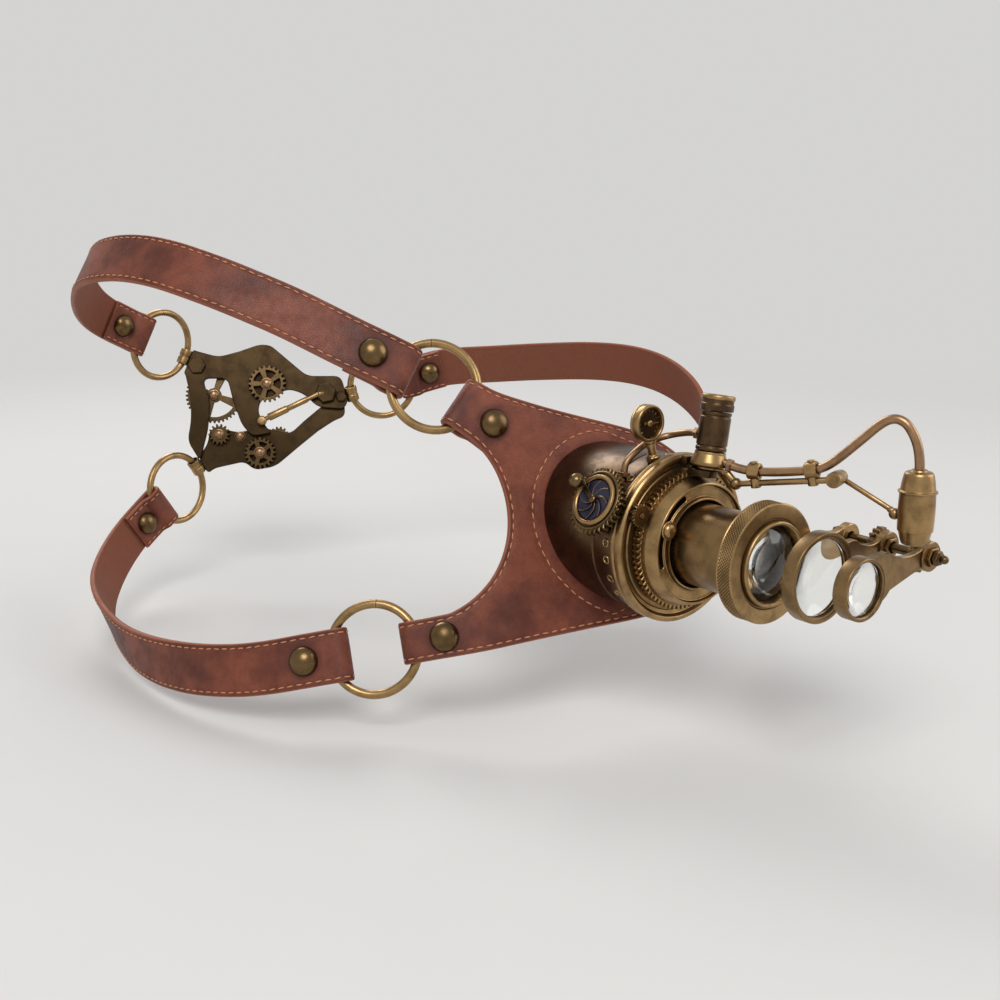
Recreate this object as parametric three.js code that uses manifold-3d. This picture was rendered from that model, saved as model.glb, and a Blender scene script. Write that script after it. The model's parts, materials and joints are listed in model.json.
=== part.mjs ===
import * as THREE from 'three';
import { mergeVertices } from 'three/addons/utils/BufferGeometryUtils.js';
import Module from 'manifold-3d';

const wasm = await Module();
wasm.setup();

// Millimetres, +Z up, the lens looks along -Y, the eye point is the origin
const SEAT_GAP = 0.3;
const RUN_GAP = 0.5;
const FOLD_ROOM = 0.75;
const ROUND = 28;

// Leather
const LEATHER = 2.2;
const STRAP_WIDTH = 18;
const LOWER_ARM_WIDTH = 14;
const FACE_SETBACK = 11;
const FACE_YAW_SLOPE = -0.3;
const FACE_PITCH_SLOPE = 0.4;
const LEFT_BEND_START = -40;
const LEFT_BEND = 0.0085;
const RIGHT_BEND_START = 29;
const RIGHT_BEND_END = 33.2;
const RIGHT_BEND = 0.22;
const CUT_CENTRE = new THREE.Vector2(-74.5, 7.5);
const CUT_RADIUS = 34.3;

// Rings, folds and rivets
const RING_RADIUS = 15;
const RING_WIRE = 3;
const FOLD_WIRE = 3.2;
const FOLD_FLAT = 6.2;
const FOLD_LENGTH = 18;
const RIVET_STATION = 11.3;
const RIVET_HEAD_R = 5;
const RIVET_HEAD_H = 3.8;
const RIVET_SHANK_R = 1.7;
const CLIP_R = 3;
const CLIP_LENGTH = 7;

// Eye barrel
const BARREL_R = 26.5;
const BARREL_BORE_R = 21;
const NECK_R = 24;
const NECK_DEPTH = 7.5;
const FLANGE_R = 28;
const FLANGE_BACK = 37;
const FLANGE_FACE = 40;
const FLANGE_LIP = 41.4;
const CLAMP_R = 29.4;
const CLAMP_THICK = 2.2;
const PAD_INNER_R = 24.6;
const PAD_OUTER_R = 30.6;
const PAD_DEPTH = 6.2;

// Focus train
const TUBE_R = 13.4;
const TUBE_WALL = 1.8;
const TUBE_BORE_R = TUBE_R - TUBE_WALL;
const TUBE_BACK = 36;
const TUBE_FRONT = 73;
const GEAR_MODULE = 0.625;
const FOCUS_TEETH = 72;
const PINION_TEETH = 8;
const CRANK_TEETH = 36;
const MESH_SLACK = 0.18;
const FOCUS_TOOTH_BACK = 41.8;
const FOCUS_TOOTH_FRONT = 44.3;
const FOCUS_FRONT = 50;
const PEG_RADIUS = 17.1;
const PEG_ANGLE = 156;
const FOCUS_TRAVEL = 44;
const PINION_ANGLE = 152.5;
const OBJECTIVE_R = 18.7;
const OBJECTIVE_BACK = 73;
const OBJECTIVE_FRONT = 79;
const BEZEL_R = TUBE_R;
const BEZEL_WALL = 1.4;
const BEZEL_BORE_R = BEZEL_R - BEZEL_WALL;
const BEZEL_FRONT = 80.4;

// Crank wheel on the side of the barrel
const CRANK_Y = -29.6;
const CRANK_BACK = 28.9;
const CRANK_FACE = 31.5;
const CRANK_TIP_R = 11.2;
const CRANK_BEZEL_R = 8.6;
const IRIS_R = 6.5;
const HANDLE_R = 7.7;
const HANDLE_TURN = 30;

// Gauge and canister
const GAUGE_R = 6;
const GAUGE_DEPTH = 4.4;
const GAUGE_ANGLE = 106;
const GAUGE_HEIGHT = 39.9;
const GAUGE_Y = -34.4;
const CANISTER_BASE = new THREE.Vector3(0.3, -50.5, 22.2);
const CANISTER_LEAN = 0.158;
const CANISTER_R = 4.9;
const FOOT_BACK = 3.4;
const FOOT_HEIGHT = 4.6;
const CANISTER_TOP = 20.6;
const CAP_TOP = 26;
const PIN_R = 1.5;

// Lamp arm
const ARM_HEADING = new THREE.Vector3(0.3365, -0.9417, 0);
const PIPE_R = 1.4;
const ROD_R = 1;
const LAMP_R = 5.1;
const LAMP_REACH = 64.8;
const LAMP_TOP = 30.3;
const LAMP_BOTTOM = 9.4;

// Swing lenses
const LOUPE_PIVOT = new THREE.Vector2(32.6, 4);
const LOUPE_ROD_R = 1.5;
const MID_R = 13.6;
const MID_BACK = 93.7;
const FRONT_R = 9.25;
const FRONT_BACK = 108.2;
const LOUPE_DEPTH = 4.6;
const LOUPE_PLATE = 2.4;

// Back plates
const PLATE = 2;
const PLATE_GAP = 0.3;
const GEAR_THICK = 2;

// Materials
const leather = new THREE.MeshStandardMaterial({ color: 0x7a3a22, roughness: 0.75, metalness: 0 });
const suede = new THREE.MeshStandardMaterial({ color: 0x8a5a3c, roughness: 0.95, metalness: 0 });
const brass = new THREE.MeshStandardMaterial({ color: 0xb58a45, roughness: 0.35, metalness: 1 });
const bronze = new THREE.MeshStandardMaterial({ color: 0x5a4630, roughness: 0.45, metalness: 1 });
const copper = new THREE.MeshStandardMaterial({ color: 0xb06a4a, roughness: 0.35, metalness: 1 });
const steel = new THREE.MeshStandardMaterial({ color: 0x8d8a84, roughness: 0.4, metalness: 1 });
const glass = new THREE.MeshStandardMaterial({ color: 0xcfd8dc, roughness: 0.05, metalness: 0 });
const enamel = new THREE.MeshStandardMaterial({ color: 0x4a4f9a, roughness: 0.3, metalness: 0 });

const root = new THREE.Group();
root.name = 'single_lens_goggle';

// Geometry helpers
function closed(geometry) {
  const flat = geometry.index ? geometry.toNonIndexed() : geometry;
  const bare = new THREE.BufferGeometry();
  bare.setAttribute('position', flat.getAttribute('position').clone());
  const merged = mergeVertices(bare, 1e-4);
  const pos = merged.getAttribute('position');
  const source = merged.index.array;
  const a = new THREE.Vector3();
  const b = new THREE.Vector3();
  const c = new THREE.Vector3();
  const kept = [];
  let volume = 0;
  for (let i = 0; i < source.length; i += 3) {
    const [i0, i1, i2] = [source[i], source[i + 1], source[i + 2]];
    if (i0 === i1 || i1 === i2 || i2 === i0) {
      continue;
    }
    a.fromBufferAttribute(pos, i0);
    b.fromBufferAttribute(pos, i1);
    c.fromBufferAttribute(pos, i2);
    volume += a.dot(b.clone().cross(c));
    kept.push(i0, i1, i2);
  }
  if (volume < 0) {
    for (let i = 0; i < kept.length; i += 3) {
      [kept[i], kept[i + 1]] = [kept[i + 1], kept[i]];
    }
  }
  merged.setIndex(kept);
  return merged;
}

function solid(geometry, matrix) {
  const copy = geometry.clone();
  if (matrix) {
    copy.applyMatrix4(matrix);
  }
  const clean = closed(copy);
  const vertProperties = new Float32Array(clean.getAttribute('position').array);
  const triVerts = new Uint32Array(clean.index.array);
  return new wasm.Manifold(new wasm.Mesh({ numProp: 3, vertProperties, triVerts }));
}

function shell(body) {
  const data = body.getMesh();
  const geometry = new THREE.BufferGeometry();
  geometry.setAttribute('position', new THREE.BufferAttribute(new Float32Array(data.vertProperties), 3));
  geometry.setIndex(new THREE.BufferAttribute(new Uint32Array(data.triVerts), 1));
  return geometry;
}

function join(...bodies) {
  return bodies.reduce((sum, body) => sum.add(body));
}

function addMesh(name, shape, material, parent = root) {
  const geometry = shape.isBufferGeometry ? closed(shape) : shell(shape);
  geometry.computeVertexNormals();
  const item = new THREE.Mesh(geometry, material);
  item.name = name;
  parent.add(item);
  return item;
}

function vec(x, y, z) {
  return new THREE.Vector3(x, y, z);
}

function rad(degrees) {
  return THREE.MathUtils.degToRad(degrees);
}

function basis(x, y, z, origin) {
  return new THREE.Matrix4().makeBasis(x, y, z).setPosition(origin);
}

// Turned piece about the Y axis from [radius, forward distance] pairs, forward is -Y
function turned(profile, segments = ROUND) {
  const points = profile.map(([r, forward]) => new THREE.Vector2(r, -forward));
  points.push(points[0].clone());
  return new THREE.LatheGeometry(points, segments);
}

// Turned piece standing along +Z from [radius, height] pairs
function standing(profile, segments = ROUND) {
  const points = profile.map(([r, height]) => new THREE.Vector2(r, height));
  points.push(points[0].clone());
  return new THREE.LatheGeometry(points, segments).rotateX(Math.PI / 2);
}

function polygon(points) {
  return new THREE.Shape(points.map(([x, y]) => new THREE.Vector2(x, y)));
}

function slab(shape, z0, z1, curveSegments = 8) {
  const options = { depth: z1 - z0, bevelEnabled: false, curveSegments };
  return new THREE.ExtrudeGeometry(shape, options).translate(0, 0, z0);
}

// Slab in the XZ plane between two forward distances
function faceSlab(shape, back, front, curveSegments = 8) {
  return slab(shape, back, front, curveSegments).rotateX(Math.PI / 2);
}

function roundRod(from, to, radius, segments = 12) {
  const along = to.clone().sub(from);
  const length = along.length();
  const turn = new THREE.Quaternion().setFromUnitVectors(vec(0, 1, 0), along.normalize());
  const geometry = new THREE.CylinderGeometry(radius, radius, length, segments);
  const middle = from.clone().add(to).multiplyScalar(0.5);
  return geometry.applyQuaternion(turn).translate(middle.x, middle.y, middle.z);
}

function pipeAlong(points, radius, steps, sides = 4) {
  const path = new THREE.CatmullRomCurve3(points, false, 'centripetal');
  const circle = new THREE.Shape();
  circle.absarc(0, 0, radius, 0, Math.PI * 2);
  const options = { steps, extrudePath: path, bevelEnabled: false, curveSegments: sides };
  return new THREE.ExtrudeGeometry(circle, options);
}

function ring(radius, wire, sides = 7, segments = 24) {
  return new THREE.TorusGeometry(radius, wire / 2, sides, segments);
}

// Gear outline with straight-sided teeth, tooth width given as a share of the pitch
function gearShape(teeth, tipR, rootR, boreR, share = 0.44, phase = 0) {
  const step = (Math.PI * 2) / teeth;
  const shape = new THREE.Shape();
  for (let i = 0; i < teeth; i += 1) {
    const a = phase + i * step;
    const foot = share * step * 0.72;
    const tip = share * step * 0.3;
    const corners = [[rootR, -foot], [tipR, -tip], [tipR, tip], [rootR, foot]];
    corners.forEach(([r, turn], k) => {
      const x = r * Math.cos(a + turn);
      const y = r * Math.sin(a + turn);
      if (i === 0 && k === 0) {
        shape.moveTo(x, y);
      } else {
        shape.lineTo(x, y);
      }
    });
  }
  shape.closePath();
  if (boreR > 0) {
    const bore = new THREE.Path();
    bore.absarc(0, 0, boreR, 0, Math.PI * 2, true);
    shape.holes.push(bore);
  }
  return shape;
}

// Leather ribbon through stations of centre, half-width vector and normal
function ribbon(stations, thickness) {
  const corner = (s, side, face) => s.c.clone().addScaledVector(s.h, side).addScaledVector(s.n, face * thickness / 2);
  const loops = stations.map((s) => [corner(s, -1, -1), corner(s, 1, -1), corner(s, 1, 1), corner(s, -1, 1)]);
  const out = [];
  const face = (...points) => points.forEach((p) => out.push(p.x, p.y, p.z));
  for (let i = 0; i + 1 < loops.length; i += 1) {
    for (let k = 0; k < 4; k += 1) {
      const n = (k + 1) % 4;
      face(loops[i][k], loops[i][n], loops[i + 1][n]);
      face(loops[i][k], loops[i + 1][n], loops[i + 1][k]);
    }
  }
  const first = loops[0];
  const last = loops[loops.length - 1];
  face(first[0], first[2], first[1]);
  face(first[0], first[3], first[2]);
  face(last[0], last[1], last[2]);
  face(last[0], last[2], last[3]);
  const geometry = new THREE.BufferGeometry();
  geometry.setAttribute('position', new THREE.Float32BufferAttribute(out, 3));
  return closed(geometry);
}

// Leather plane: x to the right, y up, z out of the leather
const faceOut = vec(FACE_YAW_SLOPE, -1, FACE_PITCH_SLOPE).normalize();
const faceRight = vec(1, FACE_YAW_SLOPE, 0).normalize();
const faceUp = faceOut.clone().cross(faceRight);
const faceOrigin = vec(0, -FACE_SETBACK, 0);
const faceMatrix = basis(faceRight, faceUp, faceOut, faceOrigin);
const toFace = faceMatrix.clone().invert();
const faceGroup = new THREE.Group();
faceGroup.name = 'leather_plane';
faceGroup.applyMatrix4(faceMatrix);
root.add(faceGroup);

function sheetBend(x) {
  if (x < LEFT_BEND_START) {
    return -LEFT_BEND * (x - LEFT_BEND_START) ** 2;
  }
  if (x > RIGHT_BEND_START) {
    const turn = Math.min(x, RIGHT_BEND_END) - RIGHT_BEND_START;
    return -RIGHT_BEND * turn * (turn + 2 * Math.max(0, x - RIGHT_BEND_END));
  }
  return 0;
}

function sheetSlope(x) {
  if (x < LEFT_BEND_START) {
    return -2 * LEFT_BEND * (x - LEFT_BEND_START);
  }
  if (x > RIGHT_BEND_START) {
    return -2 * RIGHT_BEND * (Math.min(x, RIGHT_BEND_END) - RIGHT_BEND_START);
  }
  return 0;
}

function onSheet(x, y) {
  return vec(x, y, sheetBend(x) - LEATHER / 2);
}

// Fold of a leather end round a ring wire, all ends share these distances
const FOLD_R = RING_WIRE / 2 + FOLD_ROOM + LEATHER / 2;
const LAYER_HALF = (LEATHER + SEAT_GAP) / 2;
const foldToCentre = (halfWidth) => Math.sqrt(RING_RADIUS ** 2 - halfWidth ** 2);

function makeRing(centre, toStrap, outward) {
  const n = outward.clone().normalize();
  const t = toStrap.clone().addScaledVector(n, -toStrap.dot(n)).normalize();
  const w = n.clone().cross(t);
  return { centre, t, w, n };
}

// Stations run from the tail of the inner layer round the wire to the outer layer
function foldStations(r, side, halfWidth) {
  const t = r.t.clone().multiplyScalar(side);
  const start = r.centre.clone().addScaledVector(t, foldToCentre(halfWidth));
  const h = r.w.clone().multiplyScalar(halfWidth);
  const at = (s, off, n) => ({ c: start.clone().addScaledVector(t, s).addScaledVector(r.n, off), h, n });
  const inner = r.n.clone().negate();
  const list = [at(FOLD_LENGTH, -LAYER_HALF, inner), at(FOLD_FLAT, -LAYER_HALF, inner), at(FOLD_WIRE, -FOLD_R, inner)];
  const steps = 6;
  for (let i = 0; i <= steps; i += 1) {
    const a = -Math.PI / 2 + (Math.PI * i) / steps;
    const n = t.clone().multiplyScalar(-Math.cos(a)).addScaledVector(r.n, Math.sin(a));
    list.push({ c: start.clone().addScaledVector(n, FOLD_R), h, n });
  }
  list.push(at(FOLD_WIRE, FOLD_R, r.n), at(FOLD_FLAT, LAYER_HALF, r.n));
  return list;
}

function rivetPoint(r) {
  return r.centre.clone().addScaledVector(r.t, foldToCentre(STRAP_WIDTH / 2) + RIVET_STATION);
}

// The same ring with the strap leaving at another angle in the ring's plane
function turnRing(r, degrees) {
  return makeRing(r.centre, r.t.clone().applyAxisAngle(r.n, rad(degrees)), r.n);
}

// Arms of the patch: section centre on the sheet, direction towards the ring
function armRing(x, y, degrees, halfWidth) {
  const slope = sheetSlope(x);
  const n = vec(-slope, 0, 1).normalize();
  const flat = vec(Math.cos(rad(degrees)), Math.sin(rad(degrees)), 0);
  const t = vec(flat.x, flat.y, slope * flat.x).normalize();
  const reach = FOLD_FLAT + foldToCentre(halfWidth);
  const centre = onSheet(x, y).addScaledVector(n, -LAYER_HALF).addScaledVector(t, reach);
  return { ...makeRing(centre, t, n), x, y, flat, halfWidth };
}

// Point on the sheet behind an arm's section, with its normal
function armBehind(arm, distance) {
  const steps = 40;
  let { x, y } = arm;
  for (let i = 0; i < steps; i += 1) {
    const step = distance / steps / Math.hypot(1, sheetSlope(x) * arm.flat.x);
    x -= arm.flat.x * step;
    y -= arm.flat.y * step;
  }
  const n = vec(-sheetSlope(x), 0, 1).normalize();
  return { c: onSheet(x, y), n };
}

function armRivet(arm) {
  const seat = armBehind(arm, RIVET_STATION - FOLD_FLAT);
  return { centre: seat.c.addScaledVector(seat.n, -LAYER_HALF), t: arm.t, n: seat.n };
}

// The inner layer of an arm lies along the sheet
function armFold(arm) {
  const list = foldStations(arm, -1, arm.halfWidth).slice(2);
  const h = arm.w.clone().multiplyScalar(arm.halfWidth);
  for (let i = 0; i <= 4; i += 1) {
    const spot = armBehind(arm, ((FOLD_LENGTH - FOLD_FLAT) * i) / 4);
    const c = spot.c.addScaledVector(spot.n, -2 * LAYER_HALF);
    list.unshift({ c, h, n: spot.n.clone().negate() });
  }
  return list.reverse();
}

const armUpper = armRing(-45.8, 39.8, 140, STRAP_WIDTH / 2);
const armLower = armRing(-69.9, -32.4, 183, LOWER_ARM_WIDTH / 2);
const armFar = armRing(38, -2, 8, STRAP_WIDTH / 2);

function ringInWorld(r) {
  const centre = r.centre.clone().applyMatrix4(faceMatrix);
  return makeRing(centre, r.t.clone().transformDirection(faceMatrix), r.n.clone().transformDirection(faceMatrix));
}

const ringUpperFront = ringInWorld(armUpper);
const ringLowerFront = ringInWorld(armLower);
const ringFarFront = ringInWorld(armFar);
const ringUpperBack = makeRing(vec(-66.4, 229.1, 45.7), vec(-0.854, -0.27, 0.444), vec(-0.25, 0.96, 0.1));
const ringLowerBack = makeRing(vec(-69.4, 213, -18.4), vec(-0.79, -0.31, -0.53), vec(-0.3, 0.95, -0.1));
const ringFarBack = makeRing(vec(22.7, 182, 25.2), vec(0.879, -0.413, 0.237), vec(0.4, 0.91, 0.1));

// Eye patch outline pairs, upper edge then lower edge
function sheetStation(upper, lower) {
  const a = onSheet(upper[0], upper[1]);
  const b = onSheet(lower[0], lower[1]);
  const c = a.clone().add(b).multiplyScalar(0.5);
  const slope = sheetSlope(c.x);
  c.z = (a.z + b.z) / 2;
  return { c, h: a.clone().sub(b).multiplyScalar(0.5), n: vec(-slope, 0, 1).normalize() };
}

function cutPoint(degrees) {
  return [CUT_CENTRE.x + CUT_RADIUS * Math.cos(rad(degrees)), CUT_CENTRE.y + CUT_RADIUS * Math.sin(rad(degrees))];
}

const mainPairs = [
  [[-38, 46.3], [-42.5, -37.8]],
  [[-29.3, 43.6], [-36, -37]],
  [[-13.9, 39.1], [-17.2, -35.5]],
  [[9.5, 31.9], [6, -33.6]],
  [[18, 28.2], [16, -31.6]],
  [[25.5, 22.6], [25.5, -27.2]],
  [[29, 18.6], [29, -24]],
  [[30.6, 16.2], [31, -21.4]],
  [[32, 14], [33, -18]],
  [[33.8, 11], [35.6, -14.4]],
];
const farEnd = armFold(armFar);
const mainStrip = ribbon([...mainPairs.map(([u, l]) => sheetStation(u, l)), ...farEnd], LEATHER);

const upperPairs = [
  [[-36.5, 45.9], [-39.4, 6]],
  [[-38.2, 46.3], cutPoint(8)],
  [[-38.7, 46.5], cutPoint(20)],
  [[-39.3, 46.6], cutPoint(32)],
];
const flipped = (s) => ({ ...s, h: s.h.clone().negate() });
const upperEnd = armFold(armUpper).map(flipped);
const upperArm = ribbon([...upperPairs.map(([u, l]) => sheetStation(u, l)), ...upperEnd], LEATHER);

const lowerPairs = [
  [[-39.4, 10], [-40.5, -37.6]],
  [cutPoint(-8), [-44, -37.9]],
  [cutPoint(-24), [-48, -38.2]],
  [cutPoint(-40), [-53, -38.5]],
  [cutPoint(-56), [-59, -38.9]],
  [cutPoint(-70), [-64, -39.3]],
];
const lowerEnd = armFold(armLower).map(flipped);
const lowerArm = ribbon([...lowerPairs.map(([u, l]) => sheetStation(u, l)), ...lowerEnd], LEATHER);

function rivetHole(centre, n) {
  const from = centre.clone().addScaledVector(n, -6);
  const to = centre.clone().addScaledVector(n, 6);
  return solid(roundRod(from, to, RIVET_SHANK_R + SEAT_GAP, 10));
}

const neckHole = solid(new THREE.CylinderGeometry(NECK_R + SEAT_GAP, NECK_R + SEAT_GAP, 120, ROUND), toFace);
const patchRivets = [armUpper, armLower, armFar].map(armRivet);
const patchHoles = patchRivets.map((r) => rivetHole(r.centre, r.n));
const patch = join(solid(mainStrip), solid(upperArm), solid(lowerArm));
addMesh('eye_patch', patch.subtract(join(neckHole, ...patchHoles)), leather, faceGroup);

// Straps follow hand-placed points between two rings
function strap(name, from, to, points, steps) {
  const startAt = from.centre.clone().addScaledVector(from.n, LAYER_HALF);
  const endAt = to.centre.clone().addScaledVector(to.n, LAYER_HALF);
  const on = (base, dir, s) => base.clone().addScaledVector(dir, foldToCentre(STRAP_WIDTH / 2) + s);
  const reach = [FOLD_FLAT, (FOLD_FLAT + FOLD_LENGTH) / 2, FOLD_LENGTH, FOLD_LENGTH + 4];
  const first = reach.map((s) => on(startAt, from.t, s));
  const last = reach.map((s) => on(endAt, to.t, s)).reverse();
  const path = new THREE.CatmullRomCurve3([...first, ...points, ...last], false, 'centripetal');
  const half = STRAP_WIDTH / 2;
  const wTo = to.w.clone().multiplyScalar(Math.sign(from.w.z * to.w.z) || 1);
  const stations = foldStations(from, 1, half);
  const total = path.getLength();
  const straight = (FOLD_LENGTH - FOLD_FLAT) / total;
  for (let i = 1; i < steps; i += 1) {
    const u = i / steps;
    const mix = THREE.MathUtils.smoothstep(u, straight, 1 - straight);
    const tangent = path.getTangentAt(u);
    const w = from.w.clone().lerp(wTo, mix);
    w.addScaledVector(tangent, -w.dot(tangent)).normalize();
    const n = tangent.clone().cross(w);
    stations.push({ c: path.getPointAt(u), h: w.clone().multiplyScalar(half), n });
  }
  const closing = foldStations(to, 1, half).reverse();
  const turnOver = Math.sign(to.w.dot(wTo));
  closing.forEach((s) => stations.push({ c: s.c, h: s.h.clone().multiplyScalar(turnOver), n: s.n }));
  const holes = join(rivetHole(rivetPoint(from), from.n), rivetHole(rivetPoint(to), to.n));
  return addMesh(name, solid(ribbon(stations, LEATHER)).subtract(holes), leather);
}

const strapUpperStart = turnRing(ringUpperFront, 9);
const strapFarStart = turnRing(ringFarFront, 14);
strap('strap_upper', strapUpperStart, ringUpperBack, [
  vec(-87.5, 56, 70.5),
  vec(-109.6, 80, 83),
  vec(-122, 104, 88.6),
  vec(-128.7, 134, 86),
  vec(-121, 161, 78),
  vec(-107.6, 186, 69.5),
], 24);
strap('strap_lower', ringLowerFront, ringLowerBack, [
  vec(-112, 46, -46.5),
  vec(-126, 73, -50.5),
  vec(-131.6, 110, -52.6),
  vec(-127, 152, -48),
  vec(-112.6, 184, -43),
], 24);
strap('strap_far', strapFarStart, ringFarBack, [
  vec(97, 40, 13),
  vec(106, 57, 25),
  vec(108.5, 80, 34),
  vec(103, 102, 37.5),
  vec(89, 129, 37),
  vec(72, 154, 34.5),
], 24);

// Wire rings
function placeRing(name, r) {
  const item = addMesh(name, ring(RING_RADIUS, RING_WIRE), brass);
  item.applyMatrix4(basis(r.t, r.w.clone(), r.t.clone().cross(r.w), r.centre));
}

placeRing('ring_upper_front', ringUpperFront);
placeRing('ring_lower_front', ringLowerFront);
placeRing('ring_far_front', ringFarFront);
placeRing('ring_upper_back', ringUpperBack);
placeRing('ring_lower_back', ringLowerBack);
placeRing('ring_far_back', ringFarBack);

// Double-capped rivets
const RIVET_SEAT = LAYER_HALF + LEATHER / 2 + SEAT_GAP;
const rivetCap = [[RIVET_HEAD_R, 0], [RIVET_HEAD_R, 0.8], [4.2, 2.4], [2.2, 3.5]];
const rivetProfile = [
  [0, -RIVET_SEAT - RIVET_HEAD_H],
  ...rivetCap.map(([r, h]) => [r, -RIVET_SEAT - h]).reverse(),
  [RIVET_SHANK_R, -RIVET_SEAT],
  [RIVET_SHANK_R, RIVET_SEAT],
  ...rivetCap.map(([r, h]) => [r, RIVET_SEAT + h]),
  [0, RIVET_SEAT + RIVET_HEAD_H],
];

function placeRivet(name, at, n, along, parent = root) {
  const item = addMesh(name, standing(rivetProfile, 10), brass, parent);
  const x = along.clone().addScaledVector(n, -along.dot(n)).normalize();
  item.applyMatrix4(basis(x, n.clone().cross(x), n, at));
}

function strapRivet(name, r) {
  placeRivet(name, rivetPoint(r), r.n, r.t);
}

['rivet_patch_upper', 'rivet_patch_lower', 'rivet_patch_far'].forEach((name, i) => {
  placeRivet(name, patchRivets[i].centre, patchRivets[i].n, patchRivets[i].t, faceGroup);
});
strapRivet('rivet_upper_front', strapUpperStart);
strapRivet('rivet_lower_front', ringLowerFront);
strapRivet('rivet_far_front', strapFarStart);
strapRivet('rivet_upper_back', ringUpperBack);
strapRivet('rivet_lower_back', ringLowerBack);
strapRivet('rivet_far_back', ringFarBack);

// Barrel with neck, lens shoulder and crank stud
function halfSpace(z0, z1) {
  return solid(new THREE.BoxGeometry(200, 200, z1 - z0).translate(0, 0, (z0 + z1) / 2), faceMatrix);
}

const crankOut = vec(Math.cos(rad(PINION_ANGLE)), 0, Math.sin(rad(PINION_ANGLE)));
const crankPoint = (height) => crankOut.clone().multiplyScalar(height).add(vec(0, CRANK_Y, 0));
const barrelFront = FLANGE_BACK - SEAT_GAP;
const tubeWall = solid(turned([[BARREL_BORE_R, -30], [BARREL_R, -30], [BARREL_R, barrelFront], [BARREL_BORE_R, barrelFront]]));
const neckWall = solid(turned([[BARREL_BORE_R, -40], [NECK_R, -40], [NECK_R, 30], [BARREL_BORE_R, 30]]));
const lensLip = solid(turned([[18.6, 30], [BARREL_BORE_R + 1, 30], [BARREL_BORE_R + 1, 32], [18.6, 32]]));
const crankBoss = solid(roundRod(crankPoint(24), crankPoint(CRANK_BACK - SEAT_GAP), 3, 18));
const crankPin = solid(roundRod(crankPoint(24), crankPoint(CRANK_FACE - 0.2), 1.5, 14));
const barrelBody = join(
  tubeWall.intersect(halfSpace(SEAT_GAP, 80)),
  neckWall.intersect(halfSpace(-NECK_DEPTH, 80)),
  lensLip,
  crankBoss,
  crankPin,
);
addMesh('main_barrel', barrelBody, bronze);

// Clamp ring and soft pad behind the leather
const faceTurn = new THREE.Matrix4().makeBasis(faceRight, faceUp, faceOut).invert();
const axisShift = (z) => vec(0, z / faceOut.y, 0).applyMatrix4(faceTurn);
const clampFront = -LEATHER - SEAT_GAP;
const clampBack = clampFront - CLAMP_THICK;
const clampAt = axisShift((clampFront + clampBack) / 2);
const clampDisc = new THREE.CylinderGeometry(CLAMP_R, CLAMP_R, CLAMP_THICK, ROUND).rotateX(Math.PI / 2);
clampDisc.translate(clampAt.x, clampAt.y, (clampFront + clampBack) / 2);
addMesh('clamp_ring', solid(clampDisc).subtract(neckHole), bronze, faceGroup);

const padFront = clampBack - SEAT_GAP;
const padBack = padFront - PAD_DEPTH;
const padAt = axisShift((padFront + padBack) / 2);
const padProfile = [
  [PAD_INNER_R + 0.8, padFront],
  [PAD_OUTER_R - 1.6, padFront],
  [PAD_OUTER_R, padFront - 1.8],
  [PAD_OUTER_R, padBack + 2.4],
  [PAD_OUTER_R - 1.8, padBack],
  [PAD_INNER_R + 1.6, padBack],
  [PAD_INNER_R, padBack + 1.8],
  [PAD_INNER_R, padFront - 0.8],
];
const padBody = solid(standing(padProfile).translate(padAt.x, padAt.y, 0)).subtract(neckHole);
addMesh('face_pad', padBody, suede, faceGroup);

// Lens at the eye end
const eyeLens = [[0, 24.2], [8, 24.5], [14, 25.2], [20.4, 26.4], [20.4, 29.7], [14, 30.6], [8, 31.1], [0, 31.3]];
addMesh('eyepiece_lens', turned(eyeLens), glass);
const retainer = [[18.4, 22.2], [BARREL_BORE_R - SEAT_GAP, 22.2], [BARREL_BORE_R - SEAT_GAP, 25.9], [19.8, 25.9]];
addMesh('eyepiece_retainer', turned(retainer), brass);

// Flange with guide bush and pinion pin
const pitchFocus = (GEAR_MODULE * FOCUS_TEETH) / 2;
const pitchPinion = (GEAR_MODULE * PINION_TEETH) / 2;
const pinionRadius = pitchFocus + pitchPinion + MESH_SLACK;
const polar = (r, degrees, y) => vec(r * Math.cos(rad(degrees)), y, r * Math.sin(rad(degrees)));
const flangeProfile = [
  [TUBE_R + RUN_GAP, 33],
  [TUBE_R + 2.6, 33],
  [TUBE_R + 2.6, FLANGE_BACK],
  [FLANGE_R, FLANGE_BACK],
  [FLANGE_R, FLANGE_LIP - 0.8],
  [FLANGE_R - 0.7, FLANGE_LIP],
  [FLANGE_R - 2, FLANGE_LIP],
  [FLANGE_R - 2.7, FLANGE_FACE],
  [TUBE_R + RUN_GAP, FLANGE_FACE],
];
const pinFrom = polar(pinionRadius, PINION_ANGLE, -FLANGE_BACK - 1);
const pinTo = polar(pinionRadius, PINION_ANGLE, -FOCUS_TOOTH_FRONT - 0.8);
const pinionPin = solid(roundRod(pinFrom, pinTo, 0.8, 12));
addMesh('front_flange', solid(turned(flangeProfile)).add(pinionPin), brass);

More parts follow.
